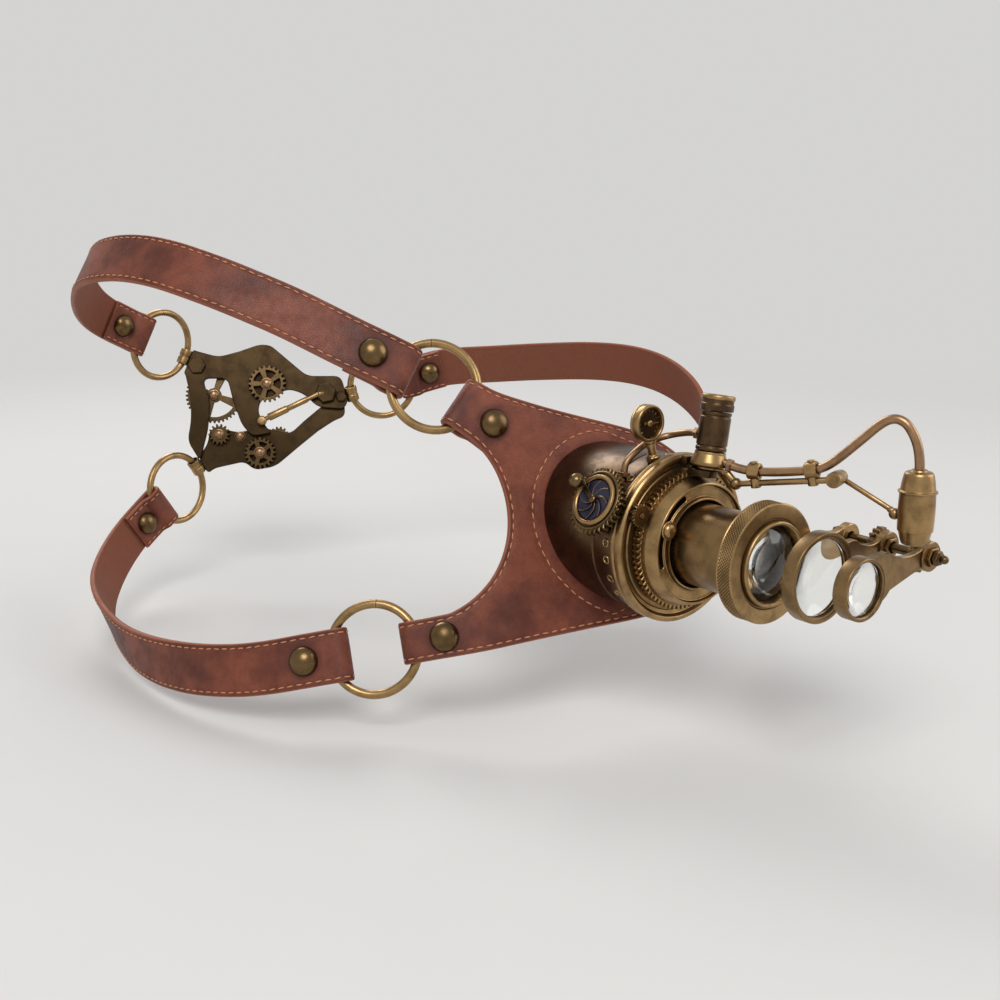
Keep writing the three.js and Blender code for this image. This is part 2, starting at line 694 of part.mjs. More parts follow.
// Focus ring with toothed rim and arc slot
const focusProfile = [
  [TUBE_R + 1, FLANGE_FACE + SEAT_GAP],
  [21.2, FLANGE_FACE + SEAT_GAP],
  [21.2, 45.6],
  [20.2, 49.6],
  [19.7, FOCUS_FRONT],
  [19.2, FOCUS_FRONT],
  [19.2, 48.6],
  [TUBE_R + 1.7, 48.6],
  [TUBE_R + 1.7, FOCUS_FRONT],
  [TUBE_R + 1, FOCUS_FRONT],
];
const focusRim = gearShape(FOCUS_TEETH, pitchFocus + 0.5, pitchFocus - 0.8, 18);
const rimSolid = solid(faceSlab(focusRim, FOCUS_TOOTH_BACK, FOCUS_TOOTH_FRONT, 8));
const slotShape = new THREE.Shape();
const slotFrom = rad(PEG_ANGLE - FOCUS_TRAVEL);
const slotTo = rad(PEG_ANGLE + FOCUS_TRAVEL);
slotShape.absarc(0, 0, PEG_RADIUS + 1.3, slotFrom, slotTo, false);
slotShape.absarc(0, 0, PEG_RADIUS - 1.3, slotTo, slotFrom, true);
const slotCut = solid(faceSlab(slotShape, FLANGE_FACE - 1, FOCUS_FRONT + 1, 10));
addMesh('focus_ring', solid(turned(focusProfile)).add(rimSolid).subtract(slotCut), brass);

// Guide peg fixed to the flange, it runs in the arc slot
const pegProfile = [
  [0, FLANGE_FACE + SEAT_GAP],
  [0.9, FLANGE_FACE + SEAT_GAP],
  [0.9, 48.9],
  [1.8, 48.9],
  [1.8, 50.2],
  [1.3, 51.2],
  [0, 51.6],
];
const pegAt = polar(PEG_RADIUS, PEG_ANGLE, 0);
addMesh('guide_peg', turned(pegProfile, 16).translate(pegAt.x, 0, pegAt.z), brass);

// Pinion between the focus ring and the crank wheel
const pinionGear = gearShape(PINION_TEETH, pitchPinion + 0.5, pitchPinion - 0.75, 1.1, 0.4, rad(PINION_ANGLE));
const pinionItem = addMesh('pinion', faceSlab(pinionGear, FOCUS_TOOTH_BACK, FOCUS_TOOTH_FRONT, 6), steel);
pinionItem.position.copy(polar(pinionRadius, PINION_ANGLE, 0));

// Focus tube with the objective
const tubeProfile = [[TUBE_BORE_R, TUBE_BACK], [TUBE_R, TUBE_BACK], [TUBE_R, TUBE_FRONT], [TUBE_BORE_R, TUBE_FRONT]];
addMesh('focus_tube', turned(tubeProfile), bronze);
const objectiveProfile = [
  [BEZEL_R + SEAT_GAP, OBJECTIVE_BACK - 3],
  [OBJECTIVE_R - 1.4, OBJECTIVE_BACK - 3],
  [OBJECTIVE_R - 1.4, OBJECTIVE_BACK],
  [OBJECTIVE_R, OBJECTIVE_BACK + 0.5],
  [OBJECTIVE_R, OBJECTIVE_FRONT - 0.7],
  [OBJECTIVE_R - 0.7, OBJECTIVE_FRONT],
  [BEZEL_R + SEAT_GAP, OBJECTIVE_FRONT],
];
addMesh('objective_ring', turned(objectiveProfile), brass);
const bezelProfile = [
  [BEZEL_BORE_R, TUBE_FRONT + SEAT_GAP],
  [BEZEL_R, TUBE_FRONT + SEAT_GAP],
  [BEZEL_R, BEZEL_FRONT - 0.4],
  [BEZEL_R - 0.4, BEZEL_FRONT],
  [BEZEL_BORE_R, BEZEL_FRONT],
];
const bracketBack = OBJECTIVE_FRONT + 0.4;
const bracketFront = bracketBack + 3;
const bracketShape = polygon([
  [BEZEL_BORE_R + 0.2, -1.5],
  [18, -3],
  [27, 0.5],
  [30, 0],
  [30, 8],
  [26, 6.6],
  [18, 8],
  [BEZEL_BORE_R + 0.2, 5.5],
]);
const bracketBoss = new THREE.Shape();
bracketBoss.absarc(LOUPE_PIVOT.x, LOUPE_PIVOT.y, 4.4, 0, Math.PI * 2);
const rodBore = solid(roundRod(
  vec(LOUPE_PIVOT.x, -70, LOUPE_PIVOT.y),
  vec(LOUPE_PIVOT.x, -125, LOUPE_PIVOT.y),
  LOUPE_ROD_R + SEAT_GAP,
));
const bezelBore = solid(turned([[0, 60], [BEZEL_BORE_R, 60], [BEZEL_BORE_R, 90], [0, 90]]));
const bezelBody = join(
  solid(turned(bezelProfile)),
  solid(faceSlab(bracketShape, bracketBack, bracketFront)),
  solid(faceSlab(bracketBoss, bracketBack, bracketFront)),
);
addMesh('objective_bezel', bezelBody.subtract(bezelBore).subtract(rodBore), brass);
const lensR = BEZEL_BORE_R - 0.4;
const frontLens = [
  [0, 74.6],
  [lensR - 5.6, 74.8],
  [lensR, 75.6],
  [lensR, 77.2],
  [lensR - 2.6, 78.5],
  [lensR - 5.6, 79.4],
  [lensR - 8.6, 79.9],
  [0, 80.1],
];
addMesh('objective_lens', turned(frontLens), glass);

// Crank wheel frame: z points out of the barrel
const crankGroup = new THREE.Group();
crankGroup.name = 'crank_axis';
const crankAlong = vec(0, -1, 0);
crankGroup.applyMatrix4(basis(crankAlong, crankOut.clone().cross(crankAlong), crankOut, vec(0, CRANK_Y, 0)));
root.add(crankGroup);
const crankGear = gearShape(CRANK_TEETH, CRANK_TIP_R, CRANK_TIP_R - 1.1, 1.9, 0.5, rad(5));
const crankBezel = [
  [IRIS_R + 0.4, CRANK_FACE - 0.5],
  [CRANK_BEZEL_R, CRANK_FACE - 0.5],
  [CRANK_BEZEL_R, CRANK_FACE + 0.7],
  [CRANK_BEZEL_R - 0.5, CRANK_FACE + 1.3],
  [IRIS_R + 0.8, CRANK_FACE + 1.3],
  [IRIS_R + 0.4, CRANK_FACE + 0.9],
];
const crankSolid = solid(slab(crankGear, CRANK_BACK, CRANK_FACE, 8)).add(solid(standing(crankBezel, 24)));
addMesh('crank_wheel', crankSolid, brass, crankGroup);
const irisBack = CRANK_FACE + SEAT_GAP;
const irisProfile = [[0, irisBack], [IRIS_R, irisBack], [IRIS_R, irisBack + 0.6], [IRIS_R - 0.6, irisBack + 0.9], [0, irisBack + 0.9]];
addMesh('iris_disc', standing(irisProfile, 24), enamel, crankGroup);
const handleBase = CRANK_FACE + 1.3 + SEAT_GAP;
const handleProfile = [
  [0, handleBase],
  [1, handleBase],
  [0.9, handleBase + 1.2],
  [1.9, handleBase + 1.7],
  [2.5, handleBase + 3],
  [2.3, handleBase + 4.2],
  [1.4, handleBase + 5.1],
  [0, handleBase + 5.4],
];
const handle = addMesh('crank_handle', standing(handleProfile, 12), brass, crankGroup);
handle.position.set(-HANDLE_R * Math.cos(rad(HANDLE_TURN)), HANDLE_R * Math.sin(rad(HANDLE_TURN)), 0);

// Pressure gauge on a stem
const gaugeAt = polar(GAUGE_HEIGHT, GAUGE_ANGLE, GAUGE_Y);
const gaugeFoot = polar(BARREL_R + SEAT_GAP, GAUGE_ANGLE, GAUGE_Y);
const gaugeNeck = polar(GAUGE_HEIGHT - GAUGE_R + 1, GAUGE_ANGLE, GAUGE_Y);
const gaugeHalf = GAUGE_DEPTH / 2;
const gaugeProfile = [
  [0, -gaugeHalf],
  [GAUGE_R - 0.8, -gaugeHalf],
  [GAUGE_R, -gaugeHalf + 0.8],
  [GAUGE_R, gaugeHalf - 0.5],
  [GAUGE_R - 0.5, gaugeHalf],
  [GAUGE_R - 1.1, gaugeHalf],
  [GAUGE_R - 1.1, gaugeHalf - 1.3],
  [0, gaugeHalf - 1.3],
];
const gaugeCase = solid(turned(gaugeProfile, 24).translate(gaugeAt.x, gaugeAt.y, gaugeAt.z));
const gaugeStem = solid(roundRod(gaugeFoot.clone().addScaledVector(gaugeNeck.clone().sub(gaugeFoot), 0.05), gaugeNeck, 1.4, 14));
const footRise = gaugeNeck.clone().sub(gaugeFoot).normalize();
const gaugeCollar = solid(roundRod(
  gaugeFoot.clone().addScaledVector(footRise, 0.35),
  gaugeFoot.clone().addScaledVector(footRise, 2.2),
  2.2,
  6,
));
addMesh('gauge_case', join(gaugeCase, gaugeStem, gaugeCollar), brass);
const needleShape = polygon([[-2.4, -0.5], [0.6, -0.6], [3.9, 0], [0.6, 0.6], [-2.4, 0.5]]);
const needleHub = new THREE.Shape();
needleHub.absarc(0, 0, 1, 0, Math.PI * 2);
const needleBack = gaugeHalf - 1.3 + SEAT_GAP;
const needleSolid = solid(faceSlab(needleShape, needleBack, needleBack + 0.4)).add(
  solid(faceSlab(needleHub, needleBack, needleBack + 0.8)),
);
const needle = addMesh('gauge_needle', needleSolid, steel);
needle.position.copy(gaugeAt);

// Canister frame: z runs up its leaning axis
const canisterUp = vec(Math.sin(CANISTER_LEAN), 0, Math.cos(CANISTER_LEAN));
const canisterSide = vec(Math.cos(CANISTER_LEAN), 0, -Math.sin(CANISTER_LEAN));
const canisterGroup = new THREE.Group();
canisterGroup.name = 'canister_axis';
const canisterMatrix = basis(canisterSide, vec(0, 1, 0), canisterUp, CANISTER_BASE);
canisterGroup.applyMatrix4(canisterMatrix);
root.add(canisterGroup);
const canisterBottom = FOOT_BACK + FOOT_HEIGHT + SEAT_GAP;
const pinTop = canisterBottom + 4;
const flangeReach = -CANISTER_BASE.y - FLANGE_LIP - SEAT_GAP;
const POST_TOP = 2.05;
const postPlate = polygon([[-3.2, 6.1], [-3.2, 0], [-2.2, -2.6], [2.2, -2.6], [3.2, 0], [3.2, 6.1]]);
const postBridge = polygon([[-3.2, 4], [3.2, 4], [3.4, flangeReach], [-3.4, flangeReach]]);
const postWeb = polygon([[-3.4, 6.5], [3.4, 6.5], [3.4, flangeReach], [-3.4, flangeReach]]);
const postSolid = join(
  solid(slab(postPlate, -0.2, POST_TOP)),
  solid(slab(postBridge, 1.65, 2.8)),
  solid(slab(postWeb, 1.65, 5.4)),
  solid(roundRod(vec(0, 0, 0), vec(0, 0, pinTop), PIN_R, 12)),
);
addMesh('canister_post', postSolid, bronze, canisterGroup);
const footTop = FOOT_BACK + FOOT_HEIGHT;
const footProfile = [
  [PIN_R + SEAT_GAP, FOOT_BACK],
  [5.6, FOOT_BACK],
  [6, FOOT_BACK + 1.4],
  [5.2, footTop],
  [PIN_R + SEAT_GAP, footTop],
];
const pipeStart = vec(0.9, CANISTER_BASE.y, 0);
const armPoint = (reach, z, side = 0) => pipeStart.clone().addScaledVector(ARM_HEADING, reach).add(
  vec(-ARM_HEADING.y * side, ARM_HEADING.x * side, z),
);
const toCanister = canisterMatrix.clone().invert();
const pipePoints = [
  armPoint(5, 27.2),
  armPoint(10, 25.9),
  armPoint(17, 25.6),
  armPoint(29.7, 27.6),
  armPoint(38.8, 30.2),
  armPoint(LAMP_REACH - 17.5, 37),
  armPoint(LAMP_REACH - 11.4, 44),
  armPoint(LAMP_REACH - 7.6, 45.9),
  armPoint(LAMP_REACH - 4, 43.6),
  armPoint(LAMP_REACH - 1.3, 39),
  armPoint(LAMP_REACH, LAMP_TOP + SEAT_GAP + 1.6),
];
const pipeSocket = solid(roundRod(armPoint(2.8, 27.8), armPoint(9, 26.1), PIPE_R + SEAT_GAP, 12), toCanister);
addMesh('canister_foot', solid(standing(footProfile, 12)).subtract(pipeSocket), brass, canisterGroup);
const canisterProfile = [
  [0, pinTop + SEAT_GAP],
  [PIN_R + SEAT_GAP, pinTop + SEAT_GAP],
  [PIN_R + SEAT_GAP, canisterBottom],
  [CANISTER_R, canisterBottom],
  [CANISTER_R, CANISTER_TOP],
  [0, CANISTER_TOP],
];
addMesh('canister_body', standing(canisterProfile, 20), brass, canisterGroup);
const capBottom = CANISTER_TOP + SEAT_GAP;
const capProfile = [
  [0, capBottom],
  [CANISTER_R + 0.5, capBottom],
  [CANISTER_R + 0.5, CAP_TOP - 1],
  [CANISTER_R - 0.3, CAP_TOP],
  [0, CAP_TOP],
];
addMesh('canister_cap', standing(capProfile, 20), copper, canisterGroup);

// Pressure pipe from the barrel behind the gauge stem to the canister
const canisterSidePoint = vec(-0.4, CANISTER_R + SEAT_GAP + 0.1, 13).applyMatrix4(canisterMatrix);
const pressurePoints = [
  polar(BARREL_R + 0.9, 128, -30.6),
  polar(BARREL_R + 3.4, 122, -30.6),
  polar(BARREL_R + 4.6, 112, -30.8),
  polar(BARREL_R + 5.4, 101, -31),
  polar(BARREL_R + 6.6, 90, -33.6),
  canisterSidePoint.clone().add(vec(-0.2, 5, -0.4)),
  canisterSidePoint,
];
addMesh('pressure_pipe', pipeAlong(pressurePoints, 1.1, 20), copper);

// Lamp arm
addMesh('feed_pipe', pipeAlong(pipePoints, PIPE_R, 32, 4), copper);

const eyeShape = new THREE.Shape();
eyeShape.absarc(0, 0, 3.4, 0, Math.PI * 2);
const eyeBack = POST_TOP + SEAT_GAP;
const eyeFront = FOOT_BACK - SEAT_GAP;
const headingTurn = Math.atan2(ARM_HEADING.y, ARM_HEADING.x);
const tongue = slab(polygon([[0, -1.6], [7, -1.4], [7, 1.4], [0, 1.6]]), eyeBack, eyeFront).rotateZ(headingTurn);
const eyePlate = solid(slab(eyeShape, eyeBack, eyeFront, 7), canisterMatrix).add(solid(tongue, canisterMatrix));
const rodRear = armPoint(6, 24.2);
const rodKnee = armPoint(9.4, 20.9);
const rodEnd = armPoint(38.4, 25.4);
const pivotAt = armPoint(40.8, 26);
const pivotSide = vec(-ARM_HEADING.y, ARM_HEADING.x, 0);
const clipPath = new THREE.CatmullRomCurve3(pipePoints, false, 'centripetal');
function pipeClip(u) {
  const at = clipPath.getPointAt(u);
  const along = clipPath.getTangentAt(u);
  const from = at.clone().addScaledVector(along, -1.1);
  const to = at.clone().addScaledVector(along, 1.1);
  const boreFrom = at.clone().addScaledVector(along, -3);
  const boreTo = at.clone().addScaledVector(along, 3);
  const sleeve = solid(roundRod(from, to, PIPE_R + 1.3, 10));
  const rodAt = rodKnee.clone().lerp(rodEnd, 0.5);
  const share = at.clone().sub(rodKnee).dot(rodEnd.clone().sub(rodKnee)) / rodEnd.clone().sub(rodKnee).lengthSq();
  rodAt.copy(rodKnee).lerp(rodEnd, share);
  const link = solid(roundRod(at, rodAt, 0.9, 8));
  return { body: sleeve.add(link), bore: solid(roundRod(boreFrom, boreTo, PIPE_R + 0.6, 12)) };
}
const clipRear = pipeClip(0.14);
const clipFront = pipeClip(0.36);
const rodSolid = join(
  eyePlate,
  solid(roundRod(rodRear, rodKnee, 1.2, 8)),
  solid(new THREE.SphereGeometry(1.9, 8, 6).translate(rodKnee.x, rodKnee.y, rodKnee.z)),
  solid(roundRod(rodKnee, rodEnd, ROD_R, 8)),
  solid(roundRod(pivotAt.clone().addScaledVector(pivotSide, -2.6), pivotAt.clone().addScaledVector(pivotSide, 2.6), 2.4, 12)),
  solid(roundRod(rodEnd, pivotAt, 1.3, 8)),
  clipRear.body,
  clipFront.body,
);
const rodTrimmed = rodSolid.subtract(clipRear.bore).subtract(clipFront.bore);
const pinRoom = solid(roundRod(vec(0, 0, -3), vec(0, 0, 12), PIN_R + SEAT_GAP, 14), canisterMatrix);
addMesh('brace_rod', rodTrimmed.subtract(pinRoom), brass);

const linkFrom = pivotAt.clone().addScaledVector(pivotSide, 3.9);
const linkTo = armPoint(LAMP_REACH - 8.1, 18.8, 1.6);
const ballAt = armPoint(LAMP_REACH - 6.9, 17.7, 1.2);
const linkSolid = join(
  solid(roundRod(pivotAt.clone().addScaledVector(pivotSide, 2.9), pivotAt.clone().addScaledVector(pivotSide, 4.9), 2.2, 12)),
  solid(roundRod(linkFrom, linkTo, 0.8, 10)),
  solid(new THREE.SphereGeometry(1.4, 8, 6).translate(ballAt.x, ballAt.y, ballAt.z)),
  solid(roundRod(linkTo, ballAt, 1, 10)),
);
addMesh('brace_link', linkSolid, brass);

const lampAt = armPoint(LAMP_REACH, 0);
const lampProfile = [
  [0, LAMP_BOTTOM + 4.4],
  [LAMP_R - 1.2, LAMP_BOTTOM + 4.4],
  [LAMP_R - 0.6, LAMP_BOTTOM + 2.6],
  [LAMP_R, LAMP_BOTTOM + 2.6],
  [LAMP_R, LAMP_BOTTOM + 9],
  [LAMP_R - 0.6, LAMP_BOTTOM + 9.6],
  [LAMP_R - 0.6, LAMP_TOP - 3.6],
  [LAMP_R, LAMP_TOP - 3],
  [LAMP_R - 0.8, LAMP_TOP - 0.8],
  [2.6, LAMP_TOP],
  [2.6, LAMP_TOP + 1.2],
  [0, LAMP_TOP + 1.2],
];
addMesh('lamp_body', standing(lampProfile, 20).translate(lampAt.x, lampAt.y, 0), brass);
const lampGlass = [
  [0, LAMP_BOTTOM + 4.1],
  [LAMP_R - 1.6, LAMP_BOTTOM + 4.1],
  [LAMP_R - 1, LAMP_BOTTOM + 2.3],
  [LAMP_R - 1.3, LAMP_BOTTOM + 1],
  [LAMP_R - 2.8, LAMP_BOTTOM + 0.2],
  [0, LAMP_BOTTOM],
];
addMesh('lamp_glass', standing(lampGlass, 20).translate(lampAt.x, lampAt.y, 0), glass);

// Loupe rod with end nuts
const rodAxis = (y) => vec(LOUPE_PIVOT.x, -y, LOUPE_PIVOT.y);
const loupeRod = join(
  solid(roundRod(rodAxis(76.6), rodAxis(115.4), LOUPE_ROD_R, 16)),
  solid(roundRod(rodAxis(76.4), rodAxis(bracketBack - SEAT_GAP), 2.8, 6)),
  solid(roundRod(rodAxis(114), rodAxis(116), 2.4, 6)),
);
addMesh('loupe_rod', loupeRod, steel);

// Swing loupe: ring, shouldered arm plate, boss and thumb wheel in one frame
function loupe(name, radius, wall, back) {
  const front = back + LOUPE_DEPTH;
  const inner = radius - wall;
  const px = LOUPE_PIVOT.x;
  const pz = LOUPE_PIVOT.y;
  const rim = solid(turned([
    [inner, back],
    [radius - 0.4, back],
    [radius, back + 0.4],
    [radius, front - 0.6],
    [radius - 0.6, front],
    [inner + 0.3, front],
    [inner, front - 0.4],
  ]));
  const shape = new THREE.Shape();
  shape.moveTo(inner + 0.6, -6);
  shape.lineTo(radius + 1.4, -5.6);
  shape.quadraticCurveTo(radius + 4.4, -5, radius + 5, -2.4);
  shape.quadraticCurveTo((radius + px) / 2 + 2, -0.6, px - 3.4, pz - 3.2);
  shape.lineTo(px, pz);
  shape.lineTo(px - 3.4, pz + 3.2);
  shape.quadraticCurveTo((radius + px) / 2 + 2, 4.4, radius + 5, 7.2);
  shape.quadraticCurveTo(radius + 3.6, 9, radius + 1, 8.6);
  shape.lineTo(inner * 0.86, 8);
  const arm = solid(faceSlab(shape, back, back + LOUPE_PLATE, 4));
  const boss = new THREE.Shape();
  boss.absarc(px, pz, 4.6, 0, Math.PI * 2);
  const bossSolid = solid(faceSlab(boss, back - 0.2, back + LOUPE_PLATE + 0.8, 8));
  const wheel = gearShape(16, 5.6, 4.7, 0, 0.5);
  const wheelSolid = solid(faceSlab(wheel, back - 2, back + 0.2).translate(px, 0, pz));
  const opening = solid(turned([[0, back - 1], [inner, back - 1], [inner, front + 1], [0, front + 1]]));
  const body = join(rim, arm.subtract(opening), bossSolid, wheelSolid).subtract(rodBore);
  addMesh(`${name}_frame`, body, brass);
  const glassR = inner - SEAT_GAP;
  const mid = (back + front) / 2;
  const lens = [
    [0, mid - 1.5],
    [glassR * 0.6, mid - 1.2],
    [glassR, mid - 0.6],
    [glassR, mid + 0.6],
    [glassR * 0.6, mid + 1.2],
    [0, mid + 1.5],
  ];
  addMesh(`${name}_glass`, turned(lens, 24), glass);
}

loupe('loupe_mid', MID_R, 1.9, MID_BACK);
loupe('loupe_front', FRONT_R, 1.25, FRONT_BACK);

// Back plates: their frame passes through the three ring clips
const clipPoint = (r) => r.centre.clone().addScaledVector(r.t, -RING_RADIUS);
const clipUpper = clipPoint(ringUpperBack);
const clipLower = clipPoint(ringLowerBack);
const clipFar = clipPoint(ringFarBack);
const plateIn = clipLower.clone().sub(clipUpper).cross(clipFar.clone().sub(clipUpper)).normalize();
const plateUp = vec(0, 0, 1).addScaledVector(plateIn, -plateIn.z).normalize();
const plateRight = plateUp.clone().cross(plateIn);
const plateAt = clipUpper.clone().add(clipLower).add(clipFar).multiplyScalar(1 / 3);
const plateMatrix = basis(plateRight, plateUp, plateIn, plateAt);
const toPlate = plateMatrix.clone().invert();
const plateGroup = new THREE.Group();
plateGroup.name = 'back_plane';
plateGroup.applyMatrix4(plateMatrix);
root.add(plateGroup);

function clipSleeve(r, point) {
  const from = point.clone().addScaledVector(r.w, -CLIP_LENGTH / 2);
  const to = point.clone().addScaledVector(r.w, CLIP_LENGTH / 2);
  return solid(roundRod(from, to, CLIP_R, 16), toPlate);
}

function ringRoom(r) {
  const frame = basis(r.t, r.w, r.t.clone().cross(r.w), r.centre);
  return solid(ring(RING_RADIUS, RING_WIRE + 2 * SEAT_GAP + 0.1, 8, 24), toPlate.clone().multiply(frame));
}

const GEAR_LARGE = { x: 10.8, y: 9.6, tip: 8.8, teeth: 22 };
const GEAR_LOWER = { x: 6.9, y: -22.6, tip: 7.4, teeth: 20 };
const GEAR_SMALL = { x: -11.8, y: -13.8, tip: 5, teeth: 14 };
const STUD_R = 1.5;

function stud(gear, base) {
  const top = base + PLATE + SEAT_GAP + GEAR_THICK;
  const profile = [
    [0, base + 0.5],
    [STUD_R, base + 0.5],
    [STUD_R, top + SEAT_GAP],
    [2.6, top + SEAT_GAP],
    [2.3, top + 1.2],
    [1.2, top + 1.8],
    [0, top + 2],
  ];
  return solid(standing(profile, 14).translate(gear.x, gear.y, 0));
}

const upperOutline = polygon([
  [-26.9, -19.5], [-18.6, -18], [-16.8, -10.3], [-16.1, 2.3], [-19.2, 12.8], [-7.7, 12.7], [-5.5, 3.1],
  [-1.4, -9.3], [3.4, -15], [12.4, -13.3], [10.1, -10.7], [6.1, -3.5], [7.5, 2.5], [14, 4], [20, 7.5],
  [27.6, 5.1], [34, -1.5], [46, -2.5], [51, 5], [47.5, 13.2], [29.2, 13.4], [12.5, 28.2], [7.4, 28.7],
  [-2, 25.5], [-11.7, 22.9], [-21.4, 25.7], [-26, 27.5], [-31, 22], [-27, 14.3], [-24.6, 3.4], [-24.7, -7.5],
]);
const lowerOutline = polygon([
  [-25.5, -28.5], [-22.3, -24], [-17.6, -18.5], [-16.4, -11.4], [-12, -9.6], [-7.8, -11.6], [-3, -12.6], [8, -10.5],
  [20.8, -13.8], [27.4, -7.7], [37.2, -0.6], [42.6, -5.2], [25.6, -19.1], [13.6, -29], [4, -30.5],
  [-0.7, -26.4], [-14.4, -29.3], [-20, -33.5],
]);
const lowerBase = -PLATE - PLATE_GAP;
const upperBody = join(
  solid(slab(upperOutline, 0, PLATE)),
  clipSleeve(ringUpperBack, clipUpper),
  clipSleeve(ringFarBack, clipFar),
  stud(GEAR_LARGE, 0),
);
addMesh('back_plate_upper', upperBody.subtract(ringRoom(ringUpperBack)).subtract(ringRoom(ringFarBack)), bronze, plateGroup);
const lowerBody = join(
  solid(slab(lowerOutline, lowerBase, -PLATE_GAP)),
  clipSleeve(ringLowerBack, clipLower),
  stud(GEAR_LOWER, lowerBase),
  stud(GEAR_SMALL, lowerBase),
);
addMesh('back_plate_lower', lowerBody.subtract(ringRoom(ringLowerBack)), bronze, plateGroup);

function backGear(name, gear, base, windows) {
  const shape = gearShape(gear.teeth, gear.tip, gear.tip - 1.3, STUD_R + SEAT_GAP, 0.5);
  for (let i = 0; i < windows; i += 1) {
    const a = (Math.PI * 2 * i) / windows;
    const hole = new THREE.Path();
    const half = Math.PI / windows - 0.22;
    const outer = gear.tip - 2.5;
    hole.absarc(0, 0, outer, a - half, a + half, false);
    hole.absarc(0, 0, 3.1, a + half * 0.7, a - half * 0.7, true);
    hole.closePath();
    shape.holes.push(hole);
  }
  const z = base + PLATE + SEAT_GAP;
  const item = addMesh(name, slab(shape, z, z + GEAR_THICK, 5), brass, plateGroup);
  item.position.set(gear.x, gear.y, 0);
}

backGear('gear_large', GEAR_LARGE, 0, 5);
backGear('gear_lower', GEAR_LOWER, lowerBase, 5);
backGear('gear_small', GEAR_SMALL, lowerBase, 0);

// Strut across the plates with its hexagon plate
const strutZ = PLATE + SEAT_GAP + 1.8;
const strutFrom = vec(8.2, -7.9, strutZ);
const strutTo = vec(34.6, 4.3, strutZ);
const strutMid = strutFrom.clone().lerp(strutTo, 0.45);
const hexShape = new THREE.Shape();
for (let i = 0; i < 6; i += 1) {
  const a = rad(60 * i + 12);
  const x = 38 + 5 * Math.cos(a);
  const y = 5 + 5 * Math.sin(a);
  if (i === 0) {
    hexShape.moveTo(x, y);
  } else {
    hexShape.lineTo(x, y);
  }
}
hexShape.closePath();
const lugShape = new THREE.Shape();
lugShape.absarc(strutFrom.x, strutFrom.y, 2.2, 0, Math.PI * 2);
const strutBody = join(
  solid(roundRod(strutFrom, strutTo, 1.1, 12)),
  solid(roundRod(strutFrom.clone().lerp(strutTo, 0.12), strutMid, 1.8, 14)),
  solid(slab(lugShape, PLATE + SEAT_GAP, strutZ + 1.6, 8)),
  solid(slab(hexShape, PLATE + SEAT_GAP, PLATE + SEAT_GAP + 2.2)),
  solid(roundRod(strutTo, vec(37, 4.8, strutZ - 1), 1.1, 12)),
);
addMesh('strut', strutBody, copper, plateGroup);

export default root;
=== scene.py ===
"""A leather and brass single-lens goggle, dressed round its CAD frame."""
import functools
import json
import math

import bmesh
import bpy
import numpy as np
from mathutils import Matrix, Vector, geometry, kdtree, noise


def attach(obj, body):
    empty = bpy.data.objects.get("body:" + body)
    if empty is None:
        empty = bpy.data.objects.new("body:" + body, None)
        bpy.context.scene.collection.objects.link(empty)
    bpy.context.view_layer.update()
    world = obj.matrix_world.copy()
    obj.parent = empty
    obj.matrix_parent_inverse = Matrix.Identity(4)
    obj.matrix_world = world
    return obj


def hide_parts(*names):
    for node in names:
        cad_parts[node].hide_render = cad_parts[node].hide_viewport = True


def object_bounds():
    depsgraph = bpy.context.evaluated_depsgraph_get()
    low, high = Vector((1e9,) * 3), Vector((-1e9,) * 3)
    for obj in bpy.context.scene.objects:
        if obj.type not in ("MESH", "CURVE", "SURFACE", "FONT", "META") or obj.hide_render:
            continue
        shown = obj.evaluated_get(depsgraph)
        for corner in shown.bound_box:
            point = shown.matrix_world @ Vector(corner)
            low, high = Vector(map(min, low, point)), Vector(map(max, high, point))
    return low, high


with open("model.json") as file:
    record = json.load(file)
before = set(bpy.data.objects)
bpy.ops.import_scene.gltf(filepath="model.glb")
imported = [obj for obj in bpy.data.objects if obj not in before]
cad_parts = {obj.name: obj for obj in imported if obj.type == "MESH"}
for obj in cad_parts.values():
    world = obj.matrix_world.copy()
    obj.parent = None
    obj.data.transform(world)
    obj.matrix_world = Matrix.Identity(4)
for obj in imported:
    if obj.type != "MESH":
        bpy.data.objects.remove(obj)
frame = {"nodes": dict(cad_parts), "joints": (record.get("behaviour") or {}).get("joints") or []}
CAD_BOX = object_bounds()
JOINTS = {joint["name"]: joint for joint in frame["joints"]}

bl_info = {
    "name": "Single-lens goggle",
    "version": (1, 0, 0),
    "blender": (4, 5, 0),
    "location": "3D View > Sidebar > Goggle",
    "description": "Dresses the goggle's CAD frame in leather, thread, brass and glass",
    "category": "Mesh",
}

# Shapes are worked out in millimetres and finished in metres
MM = 0.001
TAU = math.tau


# Settings that a user would change
def size(name, description, default, least):
    return bpy.props.FloatProperty(name=name, description=description + " in mm", default=default, min=least)


def colour(name, description, default):
    return bpy.props.FloatVectorProperty(
        name=name, description=description, default=default, min=0, max=1, subtype="COLOR")


def position(name, description, default):
    return bpy.props.FloatVectorProperty(name=name, description=description, default=default, subtype="XYZ")


